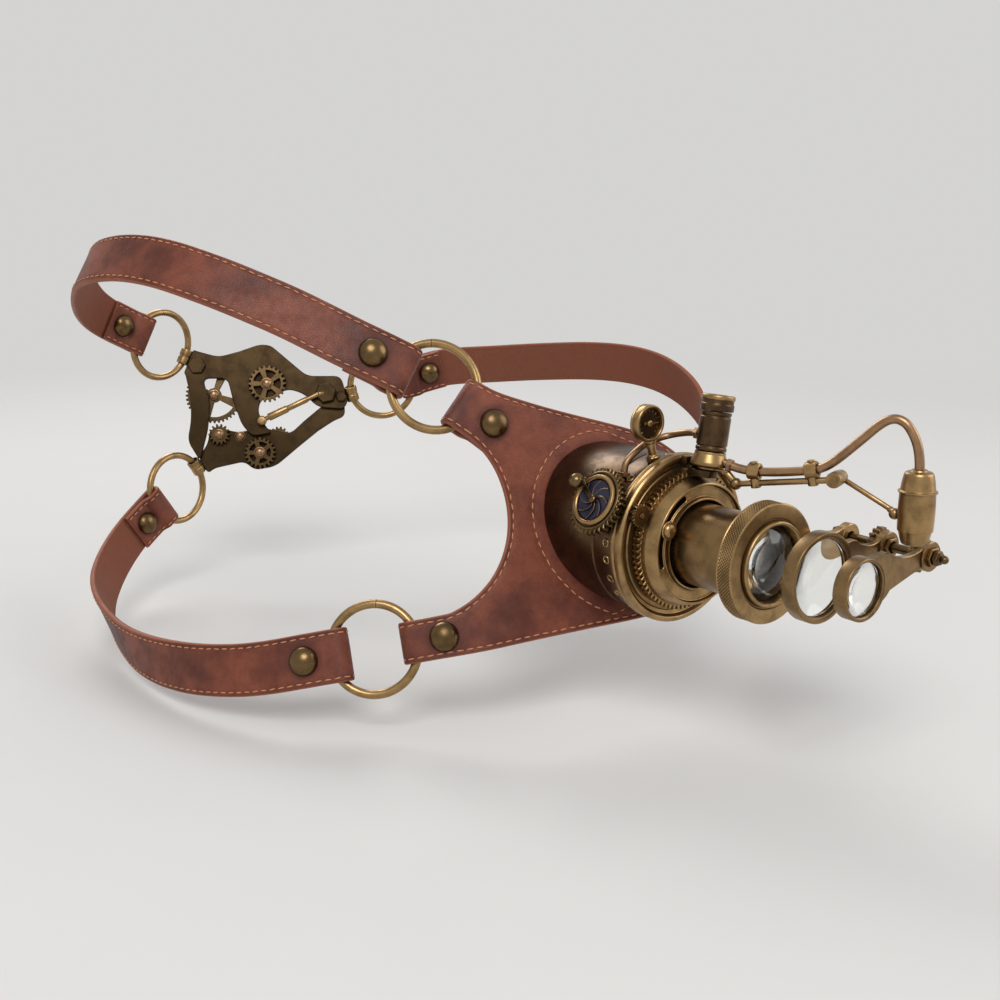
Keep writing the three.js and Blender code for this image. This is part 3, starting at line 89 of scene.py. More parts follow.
class LeatherSettings(bpy.types.PropertyGroup):
    thickness: size("Thickness", "Thickness of the hide", 2.2, 1.0)
    strap_width: size("Strap width", "Width of the straps", 18.0, 8.0)
    edge_round: size("Edge rounding", "Rounding of the cut edges", 0.75, 0.1)
    stitch_inset: size("Stitch inset", "Stitch line to cut edge", 1.6, 0.5)
    stitch_pitch: size("Stitch pitch", "Length of one stitch and its gap", 3.3, 1.0)
    stitch_length: size("Stitch length", "Visible thread of one stitch", 2.5, 0.5)
    thread: size("Thread", "Diameter of the thread", 0.56, 0.2)
    hide: colour("Hide", "Main colour of the grain side", (0.225, 0.06, 0.03))
    hide_dark: colour("Dark hide", "Colour of the darker clouds", (0.07, 0.016, 0.01))
    # Lighter cut edges: edge paint, with a painted highlight
    edge_paint_and_highlight: colour("Cut edge", "Colour of the cut edges", (0.32, 0.092, 0.038))
    flesh: colour("Flesh side", "Colour of the inner side", (0.19, 0.068, 0.038))
    thread_colour: colour("Thread colour", "Colour of the stitches", (0.6, 0.265, 0.13))


class MetalSettings(bpy.types.PropertyGroup):
    # Each dark colour is the metal's patina, and also painted shade in its hollows
    brass: colour("Brass", "Brass where it is rubbed bright", (0.38, 0.242, 0.107))
    brass_dark: colour("Brass patina", "Brass in its recesses", (0.08, 0.048, 0.021))
    bronze: colour("Bronze", "Bronze where it is rubbed", (0.112, 0.066, 0.033))
    bronze_dark: colour("Bronze patina", "Bronze in its recesses", (0.02, 0.0125, 0.008))
    copper: colour("Copper", "Copper of the pipes", (0.36, 0.218, 0.118))
    copper_dark: colour("Copper patina", "Copper in its recesses", (0.085, 0.043, 0.027))
    rivet: colour("Rivet brass", "Brass of the rivets and small wheels", (0.165, 0.104, 0.046))
    rivet_dark: colour("Rivet patina", "Rivet brass in its recesses", (0.034, 0.02, 0.01))
    tube: colour("Tube bronze", "Dark brass of the tube and the loupes", (0.255, 0.158, 0.07))
    # Plate colour: dark bronze, made darker still as painted shade on the back plates
    plate: colour("Plate bronze", "Dark metal of the back plates", (0.042, 0.0262, 0.0122))
    # Clock colour: dark brass, made darker still as painted shade on the back gears
    clock: colour("Clock brass", "Dark brass of the back gears", (0.088, 0.0555, 0.025))
    iris: colour("Iris", "Enamel of the iris blades", (0.01, 0.011, 0.032))
    fillet: size("Edge fillet", "Rounding of machined edges", 0.22, 0.0)
    knurl_pitch: size("Knurl pitch", "Pitch of the diamond knurl", 1.05, 0.4)


class StageSettings(bpy.types.PropertyGroup):
    camera_at: position("Camera", "Camera position in metres", (-0.276, -0.31, 0.1))
    camera_heading: position("Heading", "Direction that the camera looks in", (0.585, 0.78, -0.223))
    lens: size("Lens", "Focal length on a 36 mm sensor", 43.45, 1.0)
    floor: colour("Floor", "Colour of the floor", (0.7, 0.69, 0.67))
    backdrop: colour("Backdrop", "Colour behind the floor", (0.66, 0.655, 0.645))


# Node trees, with sockets as values in Python expressions
class Wire:
    """An output socket that takes part in sums; each sum adds its Math node."""

    def __init__(self, tree, socket):
        self.tree = tree
        self.socket = socket

    def math(self, operation, *values):
        return self.tree.node("ShaderNodeMath", dict(enumerate(values)), operation=operation)

    def __add__(self, other):
        return self.math("ADD", self, other)

    def __mul__(self, other):
        return self.math("MULTIPLY", self, other)

    def __sub__(self, other):
        return self.math("SUBTRACT", self, other)

    def __rsub__(self, other):
        return self.math("SUBTRACT", other, self)

    __radd__ = __add__
    __rmul__ = __mul__

    def larger(self, other):
        return self.math("MAXIMUM", self, other)

    def between(self, low, high):
        """0 at low, 1 at high, with soft ends."""
        ends = {0: self, 1: low, 2: high}
        return self.tree.node("ShaderNodeMapRange", ends, interpolation_type="SMOOTHSTEP")

    def beside(self, output):
        """Another output of the same node."""
        return Wire(self.tree, self.socket.node.outputs[output])


class Tree:
    """A node tree in the making."""

    def __init__(self, tree):
        self.tree = tree

    def plug(self, socket, value):
        if isinstance(value, Wire):
            self.tree.links.new(value.socket, socket)
        elif socket.type == "RGBA":
            socket.default_value = (*value, 1.0)
        else:
            socket.default_value = value

    def node(self, kind, sockets=None, output=0, **settings):
        made = self.tree.nodes.new(kind)
        for key, value in settings.items():
            setattr(made, key, value)
        for key, value in (sockets or {}).items():
            self.plug(made.inputs[key], value)
        return Wire(self, made.outputs[output])


class Finish(Tree):
    """A material in the making, with the shader at the end of it."""

    def __init__(self, name, **constants):
        self.material = bpy.data.materials.new(name)
        self.material.use_nodes = True
        super().__init__(self.material.node_tree)
        self.end(**constants)
        at = self.node("ShaderNodeTexCoord", output="Object")
        self.mm = self.node("ShaderNodeVectorMath", {0: at, "Scale": 1 / MM}, operation="SCALE")

    def clouds(self, scale, detail, rough=0.55):
        return self.node("ShaderNodeTexNoise", {
            "Vector": self.mm, "Scale": scale, "Detail": detail, "Roughness": rough})

    def layered(self, paint, *coats):
        """A colour under coats of (share, colour)."""
        for share, coat in coats:
            paint = self.node("ShaderNodeMix", {0: share, 6: paint, 7: coat}, output=2, data_type="RGBA")
        return paint

    def attribute(self, name):
        return self.node("ShaderNodeAttribute", output="Fac", attribute_name=name)

    def bump(self, height, distance, strength):
        heights = {"Strength": strength, "Distance": distance * MM, "Height": height}
        return self.node("ShaderNodeBump", heights)

    def end(self, **links):
        shader = self.tree.nodes["Principled BSDF"]
        for socket, value in links.items():
            self.plug(shader.inputs[socket.replace("_", " ")], value)
        return self.material


def leather_finish(scene):
    """Clouded hide with fine grain, worn edges, a paler flesh side, cut edges in edge paint with a painted
    highlight, and painted shadow round the rivets.
    """
    settings = scene.goggle_leather
    hide, dark = settings.hide, settings.hide_dark
    finish = Finish("saddle_leather", Specular_IOR_Level=0.32)
    edge, flesh, rivet_shadow = (finish.attribute(name) for name in ("edge", "flesh", "rivet_shadow"))
    clouds = finish.clouds(0.045, 4.0, 0.6).between(0.36, 0.66)
    streaks = finish.clouds(0.21, 5.0, 0.62).between(0.42, 0.72)
    nap = finish.clouds(2.4, 4.0, 0.7).between(0.3, 0.7)
    pores = finish.clouds(3.2, 3.0, 0.6)
    cells = finish.node(
        "ShaderNodeTexVoronoi", {"Vector": finish.mm, "Scale": 1.15}, feature="DISTANCE_TO_EDGE")
    creases = cells.between(0, 0.16)
    burnish = edge.between(0.15, 0.62) * (1.0 - edge.between(0.72, 0.95))
    grain = 1.0 - flesh
    back = finish.layered(settings.flesh, (nap * 0.4, hide), (clouds * 0.35, hide))
    paint = finish.layered(
        hide,
        (clouds * 0.85, dark),
        (streaks * 0.35, dark),
        (burnish * 0.5, dark),
        # The rim of the cut edge: edge paint, with a painted highlight
        (edge.between(0.72, 1.0) * 0.8, settings.edge_paint_and_highlight),
        (flesh, back),
        # Painted shadow round each rivet head, in the dark hide colour
        (rivet_shadow * 0.7, dark),
        ((1.0 - creases) * 0.22 * grain, dark),
    )
    height = (creases * 0.5 + pores * 0.5 + clouds * 0.3) * grain + nap * flesh
    rough = streaks * 0.12 + pores * 0.1 + 0.4 + flesh * 0.34 - burnish * 0.08
    return finish.end(Base_Color=paint, Roughness=rough, Normal=finish.bump(height, 0.12, 0.55))


def suede_finish(scene):
    """Soft suede of the pad that meets the face."""
    settings = scene.goggle_leather
    finish = Finish("pad_suede", Sheen_Weight=0.35, Sheen_Roughness=0.45, Specular_IOR_Level=0.2)
    nap = finish.clouds(1.7, 5.0, 0.7)
    brushed = finish.clouds(0.16, 3.0, 0.6).between(0.35, 0.65)
    worn = nap.between(0.45, 0.75)
    paint = finish.layered(settings.flesh, (brushed * 0.5, settings.hide), (worn * 0.4, settings.hide_dark))
    return finish.end(Base_Color=paint, Roughness=nap * 0.12 + 0.82, Normal=finish.bump(nap, 0.2, 0.6))


def thread_finish(scene):
    """Waxed thread with its twist."""
    settings = scene.goggle_leather
    finish = Finish("waxed_thread", Specular_IOR_Level=0.35)
    twist = finish.clouds(3.5, 2.0)
    paint = finish.layered(settings.thread_colour, (twist.between(0.35, 0.75) * 0.55, settings.hide))
    return finish.end(Base_Color=paint, Roughness=twist * 0.2 + 0.5, Normal=finish.bump(twist, 0.15, 0.7))


def metal_finish(settings, name, bright, dark, rough, patina):
    """Aged metal: cloudy patina, painted shade in the hollows, and fine handling marks."""
    bright, dark = getattr(settings, bright), getattr(settings, dark)
    finish = Finish(name, Metallic=1.0)
    clouds = finish.clouds(0.16, 5.0, 0.62).between(0.38, 0.7)
    specks = finish.clouds(1.3, 4.0, 0.65).between(0.52, 0.78)
    marks = finish.clouds(5.5, 3.0, 0.6)
    # Ambient occlusion darkens the hollows in the patina colour: painted shade
    open_sky = finish.node("ShaderNodeAmbientOcclusion", {"Distance": 2.8 * MM}, output="AO", samples=6)
    occlusion_shade = (1.0 - open_sky).between(0.22, 0.8)
    paint = finish.layered(
        bright, (clouds * patina, dark), (specks * patina * 0.6, dark), (occlusion_shade * 0.85, dark))
    roughness = clouds * 0.1 + marks * 0.08 + occlusion_shade * 0.2 + rough
    bump = finish.bump(marks * 0.6 + specks * 0.4, 0.03, 0.5)
    return finish.end(Base_Color=paint, Roughness=roughness, Normal=bump)


def glass_finish(scene):
    """Clear lens glass with a faint haze of handling."""
    finish = Finish("lens_glass", Transmission_Weight=1.0, IOR=1.46, Base_Color=(0.96, 0.97, 0.95))
    haze = finish.clouds(0.35, 4.0).between(0.5, 0.85)
    return finish.end(Roughness=haze * 0.05 + 0.015)


def iris_finish(scene):
    """Dark blue enamel with a satin break-up."""
    enamel = scene.goggle_metal.iris
    finish = Finish("iris_enamel", Metallic=0.35, Coat_Weight=0.2, Coat_Roughness=0.15)
    clouds = finish.clouds(0.6, 4.0).between(0.35, 0.7)
    pale = tuple(c * 1.5 + 0.004 for c in enamel)
    paint = finish.layered(enamel, (clouds * 0.6, pale))
    return finish.end(Base_Color=paint, Roughness=clouds * 0.15 + 0.28)


def floor_finish(scene):
    """Plain pale floor with a faint tooth, which fades out into the backdrop."""
    floor = scene.goggle_stage.floor
    finish = Finish("pale_floor", Specular_IOR_Level=0.25)
    tooth = finish.clouds(0.009, 3.0)
    paint = finish.layered(floor, (tooth, tuple(c * 0.97 for c in floor)))
    away = finish.node("ShaderNodeVectorMath", {0: finish.mm}, output="Value", operation="LENGTH")
    fade = 1.0 - away.between(400, 1200)
    return finish.end(Base_Color=paint, Roughness=tooth * 0.1 + 0.7, Alpha=fade)


def light_sky(world, light, strength, backdrop):
    """Light from the world, and a plain backdrop for what is seen directly or in metal and glass."""
    world.use_nodes = True
    sky = Tree(world.node_tree)
    camera = sky.node("ShaderNodeLightPath", output="Is Camera Ray")
    share = camera.larger(camera.beside("Is Glossy Ray")).larger(camera.beside("Is Transmission Ray"))
    lit = sky.node("ShaderNodeBackground", {"Color": light, "Strength": strength})
    seen = sky.node("ShaderNodeBackground", {"Color": backdrop})
    both = sky.node("ShaderNodeMixShader", {0: share, 1: lit, 2: seen})
    sky.plug(sky.tree.nodes["World Output"].inputs["Surface"], both)


# Material, bright and dark settings, roughness and patina of each metal
METALS = {
    "brass": ("antique_brass", "brass", "brass_dark", 0.26, 0.5),
    "bronze": ("dark_bronze", "bronze", "bronze_dark", 0.24, 0.6),
    "copper": ("aged_copper", "copper", "copper_dark", 0.27, 0.4),
    "rivet": ("rivet_brass", "rivet", "rivet_dark", 0.22, 0.45),
    "tube": ("tube_bronze", "tube", "bronze_dark", 0.24, 0.4),
    # Plates: dark bronze darkened further as painted shade
    "plate": ("plate_bronze", "plate", "bronze_dark", 0.3, 0.5),
    # Back gears: dark brass darkened further as painted shade
    "clock": ("clock_brass", "clock", "rivet_dark", 0.26, 0.45),
}
MAKERS = {
    "leather": leather_finish,
    "suede": suede_finish,
    "thread": thread_finish,
    "glass": glass_finish,
    "iris": iris_finish,
    "floor": floor_finish,
}


@functools.cache
def finish_of(name):
    """The finish of that name, mixed on first use."""
    scene = bpy.context.scene
    if name in METALS:
        return metal_finish(scene.goggle_metal, *METALS[name])
    return MAKERS[name](scene)


# Places taken from the frame
def square_to(normal, vector):
    """Direction of the part of a vector that is square to a normal."""
    return (vector - normal * vector.dot(normal)).normalized()


def axes(origin, z, x):
    """Frame at origin with its z axis along z and its x axis towards x."""
    z = Vector(z).normalized()
    x = square_to(z, Vector(x))
    turn = Matrix((x, z.cross(x), z)).transposed().to_4x4()
    return Matrix.Translation(Vector(origin)) @ turn


def shifted(place, x, y, z=0):
    return place @ Matrix.Translation((x, y, z))


def joint_at(name):
    return Vector(JOINTS[name]["pos_m"]) / MM


def joint_axis(name):
    return Vector(JOINTS[name]["axis"]).normalized()


def joint_frame(name, x=(1, 0, 0)):
    return axes(joint_at(name), joint_axis(name), x)


# The eye barrel's frame: z runs forward out of the lens
FORWARD = axes((0, 0, 0), (0, -1, 0), (1, 0, 0))


def polar(radius, degrees, forward):
    """Point about the barrel in the row frame, angle from +X towards +Z."""
    turn = math.radians(degrees)
    return Vector((radius * math.cos(turn), -forward, radius * math.sin(turn)))


# Outlines: points of the plane
def spun(radius, turn):
    return Vector((radius * math.cos(turn), radius * math.sin(turn)))


def arc(radius, start, end, count):
    return [spun(radius, turn) for turn in np.linspace(start, end, count)]


def circle(radius, count=48, centre=(0, 0)):
    return [Vector(centre) + spun(radius, TAU * k / count) for k in range(count)]


def dome(radius, base, height, degrees, count):
    """Profile over a dome, between two angles."""
    turns = np.radians(np.linspace(*degrees, count))
    return [(radius * math.cos(a), base + height * math.sin(a)) for a in turns]


def lens(radius, back, hollow, front, crown, counts):
    """Profile of a lens; its faces stand out by hollow and crown in the middle."""
    low = [(r, back - hollow * (1 - (r / radius) ** 2)) for r in np.linspace(0, radius, counts[0])]
    high = [(r, front + crown * (1 - (r / radius) ** 2)) for r in np.linspace(radius, 0, counts[1])]
    return low + high


def softened(points, radius, steps=3, closed=True):
    """The same outline with its corners rounded off."""
    result = []
    count = len(points)
    for i, point in enumerate(points):
        corner = Vector(point)
        back = Vector(points[i - 1]) - corner
        ahead = Vector(points[(i + 1) % count]) - corner
        reach = min(radius, back.length * 0.45, ahead.length * 0.45)
        end_point = not closed and i in (0, count - 1)
        if end_point or reach < 1e-4 or back.angle(ahead) > math.radians(172):
            result.append(corner)
            continue
        start = corner + back.normalized() * reach
        end = corner + ahead.normalized() * reach
        for k in range(steps + 1):
            t = k / steps
            result.append(start * (1 - t) ** 2 + corner * (2 * t * (1 - t)) + end * t ** 2)
    return result


def signed_area(outline):
    return sum(a[0] * b[1] - b[0] * a[1] for a, b in zip(outline, outline[1:] + outline[:1])) / 2


def inset(outline, distance):
    """Outline moved to its left by a distance."""
    result = []
    for i, point in enumerate(outline):
        here = Vector(point[:2])
        ahead = (Vector(outline[(i + 1) % len(outline)][:2]) - here).normalized()
        back = (here - Vector(outline[i - 1][:2])).normalized()
        side = Vector((-ahead.y - back.y, ahead.x + back.x))
        stretch = max(0.35, side.length / 2)
        result.append(here + side.normalized() * distance / stretch)
    return result


def toothed(teeth, tip, root, share, phase=0.0, fillet=0.12):
    """Gear outline with straight flanks; share is the tooth's part of the pitch."""
    step = TAU / teeth
    foot = share * step * 0.72
    land = share * step * 0.3
    corners = ((root, -foot), (tip, -land), (tip, land), (root, foot))
    outline = [spun(radius, phase + i * step + turn) for i in range(teeth) for radius, turn in corners]
    return softened(outline, fillet, 2)


# Shells: lists of vertices and faces
def strips(rows, loop=False, wrap=True):
    """Faces between neighbouring rows of vertex numbers."""
    faces = []
    ahead = rows[1:] + (rows[:1] if loop else [])
    for low, high in zip(rows, ahead):
        count = len(low) if wrap else len(low) - 1
        for i in range(count):
            j = (i + 1) % len(low)
            face = list(dict.fromkeys((low[i], low[j], high[j], high[i])))
            if len(face) > 2:
                faces.append(face)
    return faces


def skin(rings, loop=False, wrap=True, caps=False):
    """Shell through rings of points; a ring of one point closes it."""
    verts = []
    rows = []
    count = max(len(ring) for ring in rings)
    for ring in rings:
        start = len(verts)
        verts += ring
        rows.append([start] * count if len(ring) == 1 else list(range(start, len(verts))))
    faces = strips(rows, loop, wrap)
    if caps:
        faces += [rows[0][::-1], rows[-1]]
    return verts, faces


def moved(shell, place):
    verts, faces = shell
    return [place @ Vector(v) for v in verts], faces


def lathe(profile, segments=96, fillet=None):
    """Closed shell turned about z from (radius, height) pairs; radius 0 closes on the axis."""
    if fillet is None:
        fillet = bpy.context.scene.goggle_metal.fillet
    hollow = profile[0][0] > 0
    rings = []
    for radius, height in softened(profile, fillet, 2, hollow) if fillet else profile:
        count = segments if radius > 1e-6 else 1
        rings.append([(*spun(radius, TAU * k / segments), height) for k in range(count)])
    return skin(rings, hollow)


def pin(radius, low, high, segments=24, fillet=None):
    return lathe([(0, low), (radius, low), (radius, high), (0, high)], segments, fillet)


def plate(outlines, low, high, chamfer=0.25):
    """Closed slab of an outline and its holes, with chamfered edges."""
    levels = [(chamfer, low), (0, low + chamfer), (0, high - chamfer), (chamfer, high)]
    verts = []
    faces = []
    ends = ([], [])
    for i, outline in enumerate(outlines):
        loop = [Vector(p[:2]) for p in outline]
        if (signed_area(loop) > 0) == (i > 0):
            loop.reverse()
        rows = []
        for back, height in levels:
            start = len(verts)
            verts += [(p.x, p.y, height) for p in (inset(loop, back) if back else loop)]
            rows.append(list(range(start, len(verts))))
        faces += strips(rows)
        ends[0].append(rows[0])
        ends[1].append(rows[-1])
    for rows in ends:
        numbers = [n for row in rows for n in row]
        flat = [[Vector((*verts[n][:2], 0)) for n in row] for row in rows]
        faces += [[numbers[i] for i in tri] for tri in geometry.tessellate_polygon(flat)]
    return verts, faces


def hexagon(radius, low, high, chamfer):
    return plate([circle(radius, 6)], low, high, chamfer)


def washer(outer, inner, low, high, chamfer, counts=(48, 24)):
    return plate([circle(outer, counts[0]), circle(inner, counts[1])], low, high, chamfer)


def tube(points, radius, sides=20, loop=False):
    """Round tube along points."""
    path = [Vector(p) for p in points]
    last = len(path) - 1
    turns = [TAU * k / sides for k in range(sides)]
    rings = []
    side = None
    for i, point in enumerate(path):
        after = path[(i + 1) % len(path)] if loop or i < last else point
        before = path[i - 1] if loop or i else point
        along = (after - before).normalized()
        side = square_to(along, along.orthogonal() if side is None else side)
        across = along.cross(side)
        rings.append([point + (side * math.cos(a) + across * math.sin(a)) * radius for a in turns])
    return skin(rings, loop, caps=not loop)


def pointing(start, end):
    """Frame at a point with its z axis towards another."""
    along = Vector(end) - Vector(start)
    return axes(start, along, along.orthogonal())


def rod(start, end, radius, segments=24, fillet=0.15):
    """Round rod between two points, with rounded rims."""
    length = (Vector(end) - Vector(start)).length
    return moved(pin(radius, 0, length, segments, fillet), pointing(start, end))


def nut(start, towards, radius, length):
    """Hexagon nut from a point along a direction."""
    return moved(hexagon(radius, 0, length, 0.2), pointing(start, towards))


def ball(centre, radius):
    turns = [math.pi * (k / 12 - 0.5) for k in range(13)]
    profile = [(0 if abs(a) > 1.57 else radius * math.cos(a), radius * math.sin(a)) for a in turns]
    return moved(lathe(profile, 24, 0), Matrix.Translation(Vector(centre)))


def curve_through(rows, per_span):
    """Rows along a smooth curve through the given rows; the first three columns are the place."""
    rows = np.asarray(rows, float)
    padded = np.vstack([2 * rows[0] - rows[1], rows, 2 * rows[-1] - rows[-2]])
    result = []
    for i in range(len(rows) - 1):
        p0, p1, p2, p3 = padded[i:i + 4]
        d0, d1, d2 = (max(np.linalg.norm(part[:3]) ** 0.5, 1e-9) for part in (p1 - p0, p2 - p1, p3 - p2))
        m1 = ((p1 - p0) / d0 - (p2 - p0) / (d0 + d1) + (p2 - p1) / d1) * d1
        m2 = ((p2 - p1) / d1 - (p3 - p1) / (d1 + d2) + (p3 - p2) / d2) * d1
        for k in range(per_span):
            t = k / per_span
            a = 2 * t ** 3 - 3 * t ** 2
            result.append(p1 * (1 + a) - p2 * a + m1 * (t ** 3 - 2 * t ** 2 + t) + m2 * (t ** 3 - t ** 2))
    result.append(rows[-1])
    return np.array(result)


def resampled(rows, step):
    """Rows at even steps along their place columns, with the distance of each."""
    rows = np.asarray(rows, float)
    lengths = np.linalg.norm(np.diff(rows[:, :3], axis=0), axis=1)
    run = np.concatenate([[0], np.cumsum(lengths)])
    at = np.linspace(0, run[-1], max(2, round(run[-1] / step) + 1))
    return np.column_stack([np.interp(at, run, column) for column in rows.T]), at


class Piece:
    """Shells gathered into one object; they go to its place unless add names another."""

    def __init__(self, place=Matrix()):
        self.place = place
        self.verts = []
        self.faces = []
        self.paints = []

    def add(self, *shells, place=None, paint=0):
        for shell in shells:
            verts, faces = moved(shell, place or self.place)
            base = len(self.verts)
            self.verts += verts
            self.faces += [[i + base for i in face] for face in faces]
            self.paints += [paint] * len(faces)
        return self

    def finish(self, name, body, slot, finishes, *replaced, smooth=34, marks=None):
        """The object, with its finishes in the order of the paint numbers."""
        mesh = bpy.data.meshes.new(name)
        mesh.from_pydata([v * MM for v in self.verts], [], self.faces)
        for key, values in (marks or {}).items():
            mesh.attributes.new(key, "FLOAT", "POINT").data.foreach_set("value", values)
        for finish in finishes.split():
            mesh.materials.append(finish_of(finish))
        mesh.polygons.foreach_set("material_index", self.paints)
        outwards(mesh)
        mesh.shade_smooth()
        mesh.set_sharp_from_angle(angle=math.radians(smooth))
        return seated(bpy.data.objects.new(name, mesh), body, slot, *replaced)

    def dress(self, node, how, *places, **looks):
        """The object in place of one CAD node, named for how it is made."""
        return self.finish(f"{node}_{how}", *places, node, **looks)


def turned(profile, *names, place=FORWARD, segments=96, fillet=None):
    """A piece of one turned shell, in place of one CAD node."""
    Piece(place).add(lathe(profile, segments, fillet)).dress(*names)


def outwards(mesh):
    """Turns every closed shell's faces outwards."""
    work = bmesh.new()
    work.from_mesh(mesh)
    bmesh.ops.recalc_face_normals(work, faces=work.faces)
    work.to_mesh(mesh)
    work.free()


def seated(item, body, slot, *replaced):
    """Links a piece and ties it to its CAD body."""
    bpy.context.scene.collection.objects.link(item)
    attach(item, body)
    if replaced:
        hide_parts(*replaced)
    return item


# Geometry Nodes for what repeats
class Repeat(Tree):
    """A Geometry Nodes tree in the making, with its named inputs."""

    def __init__(self, name, **inputs):
        super().__init__(bpy.data.node_groups.new(name, "GeometryNodeTree"))
        sockets = self.tree.interface
        sockets.new_socket("Geometry", in_out="OUTPUT", socket_type="NodeSocketGeometry")
        self.inputs = {}
        for key, kind in inputs.items():
            made = sockets.new_socket(key, in_out="INPUT", socket_type="NodeSocket" + kind)
            self.inputs[key] = made.identifier
        self.enter = self.tree.nodes.new("NodeGroupInput")

    def value(self, name):
        return Wire(self, self.enter.outputs[name])

    def out(self):
        return self.node("GeometryNodeInputNamedAttribute", {"Name": "out"}, data_type="FLOAT_VECTOR")

    def end(self, copies):
        real = self.node("GeometryNodeRealizeInstances", {"Geometry": copies})
        smooth = self.node("GeometryNodeSetShadeSmooth", {"Geometry": real})
        painted = self.node("GeometryNodeSetMaterial", {
            "Geometry": smooth, "Material": self.value("Material")})
        self.plug(self.tree.nodes.new("NodeGroupOutput").inputs[0], painted)
        return self


@functools.cache
def stitch_tree():
    """Stitches along paths that carry an out direction."""
    tree = Repeat(
        "Stitching", Path="Geometry", Pitch="Float", Length="Float", Thread="Float", Material="Material")
    thread = tree.value("Thread")
    line = tree.node("GeometryNodeMeshToCurve", {"Mesh": tree.value("Path")})
    even = tree.node(
        "GeometryNodeResampleCurve", {"Curve": line, "Length": tree.value("Pitch")}, mode="LENGTH")
    points = tree.node("GeometryNodeCurveToPoints", {"Curve": even}, output="Points", mode="EVALUATED")
    turn = tree.node("FunctionNodeAxesToRotation", {
        0: points.beside("Tangent"), 1: tree.out()}, primary_axis="X", secondary_axis="Z")
    sway = tree.node("FunctionNodeRandomValue", {2: -0.09, 3: 0.13, "Seed": 7}, output=1)
    lean = tree.node("ShaderNodeCombineXYZ", {"Z": sway})
    leaning = tree.node("FunctionNodeRotateRotation", {0: turn, 1: lean}, rotation_space="LOCAL")
    bead = tree.node("GeometryNodeMeshUVSphere", {"Segments": 8, "Rings": 6, "Radius": 0.5})
    scale = tree.node("ShaderNodeCombineXYZ", {"X": tree.value("Length"), "Y": thread, "Z": thread})
    stitch = tree.node("GeometryNodeTransform", {"Geometry": bead, "Scale": scale})
    return tree.end(tree.node("GeometryNodeInstanceOnPoints", {
        "Points": points, "Instance": stitch, "Rotation": leaning}))


@functools.cache
def stud_tree():
    """Copies of one head on points that carry an out direction."""
    tree = Repeat("Studs", Seats="Geometry", Head="Object", Size="Float", Material="Material")
    turn = tree.node("FunctionNodeAlignRotationToVector", {"Vector": tree.out()}, axis="Z")
    head = tree.node("GeometryNodeObjectInfo", {
        "Object": tree.value("Head")}, output="Geometry", transform_space="ORIGINAL")
    return tree.end(tree.node("GeometryNodeInstanceOnPoints", {
        "Points": tree.value("Seats"), "Instance": head, "Rotation": turn, "Scale": tree.value("Size")}))


def run_tree(tree, name, seats, edges, values, body, slot=None, *replaced):
    """Runs a tree on (place, out) seats and keeps its mesh as a piece."""
    mesh = bpy.data.meshes.new(name + "_base")
    mesh.from_pydata([place * MM for place, out in seats], edges, [])
    flat = np.array([c for place, out in seats for c in out], np.float32)
    mesh.attributes.new("out", "FLOAT_VECTOR", "POINT").data.foreach_set("vector", flat)
    base = bpy.data.objects.new(name + "_base", mesh)
    bpy.context.scene.collection.objects.link(base)
    modifier = base.modifiers.new("Repeat", "NODES")
    modifier.node_group = tree.tree
    for key, value in values.items():
        modifier[tree.inputs[key]] = value
    graph = bpy.context.evaluated_depsgraph_get()
    made = bpy.data.meshes.new_from_object(base.evaluated_get(graph), depsgraph=graph)
    base.modifiers.remove(modifier)
    bpy.data.objects.remove(base)
    bpy.data.meshes.remove(mesh)
    made.name = name
    if "out" in made.attributes:
        made.attributes.remove(made.attributes["out"])
    return seated(bpy.data.objects.new(name, made), body, slot, *replaced)


def stitched(name, lines, body):
    """Stitches along lines of (place, out) seats."""
    leather = bpy.context.scene.goggle_leather
    seats = []
    edges = []
    for line in lines:
        start = len(seats)
        seats += line
        edges += [(i, i + 1) for i in range(start, len(seats) - 1)]
    values = {
        "Pitch": leather.stitch_pitch * MM,
        "Length": leather.stitch_length * MM,
        "Thread": leather.thread * MM,
        "Material": finish_of("thread"),
    }
    return run_tree(stitch_tree(), name, seats, edges, values, body)


def studded(name, head, seats, finish, body, slot, *replaced):
    """Copies of a head shell, in mm, on (place, out) seats."""
    verts, faces = head
    mesh = bpy.data.meshes.new(name + "_head")
    mesh.from_pydata([Vector(v) * MM for v in verts], [], faces)
    outwards(mesh)
    pattern = bpy.data.objects.new(name + "_head", mesh)
    bpy.context.scene.collection.objects.link(pattern)
    values = {"Head": pattern, "Size": 1.0, "Material": finish_of(finish)}
    made = run_tree(stud_tree(), name, seats, [], values, body, slot, *replaced)
    bpy.data.objects.remove(pattern)
    made.data.set_sharp_from_angle(angle=math.radians(40))
    return made


# Folds of the leather round the ring wires
LAYER_GAP = 0.3
FOLD_FLAT = 6.2
FOLD_WIRE = 3.2
FOLD_ROOM = 1.7
FOLD_TAIL = 11.8
RING_RADIUS = 15.0
RIVET_BACK = 5.1
LIFT_FROM = -26.0
LIFT_TO = -4.0
# Straps between their folds: length of the easing and its pull on the leaving end
FOLD_LENGTH = 44.0
EASE = (26.0, 1.0)
EASE_LONG = {"ring_upper_back_turn": (92.0, 0.55)}
EASE_FADE = 6.0
EASE_ROUNDS = 90


def smooth(low, high, value):
    t = min(1.0, max(0.0, (value - low) / (high - low)))
    return t * t * (3 - 2 * t)


def squared(value, power):
    """A sine or cosine pulled towards a square wave."""
    return math.copysign(abs(value) ** power, value)


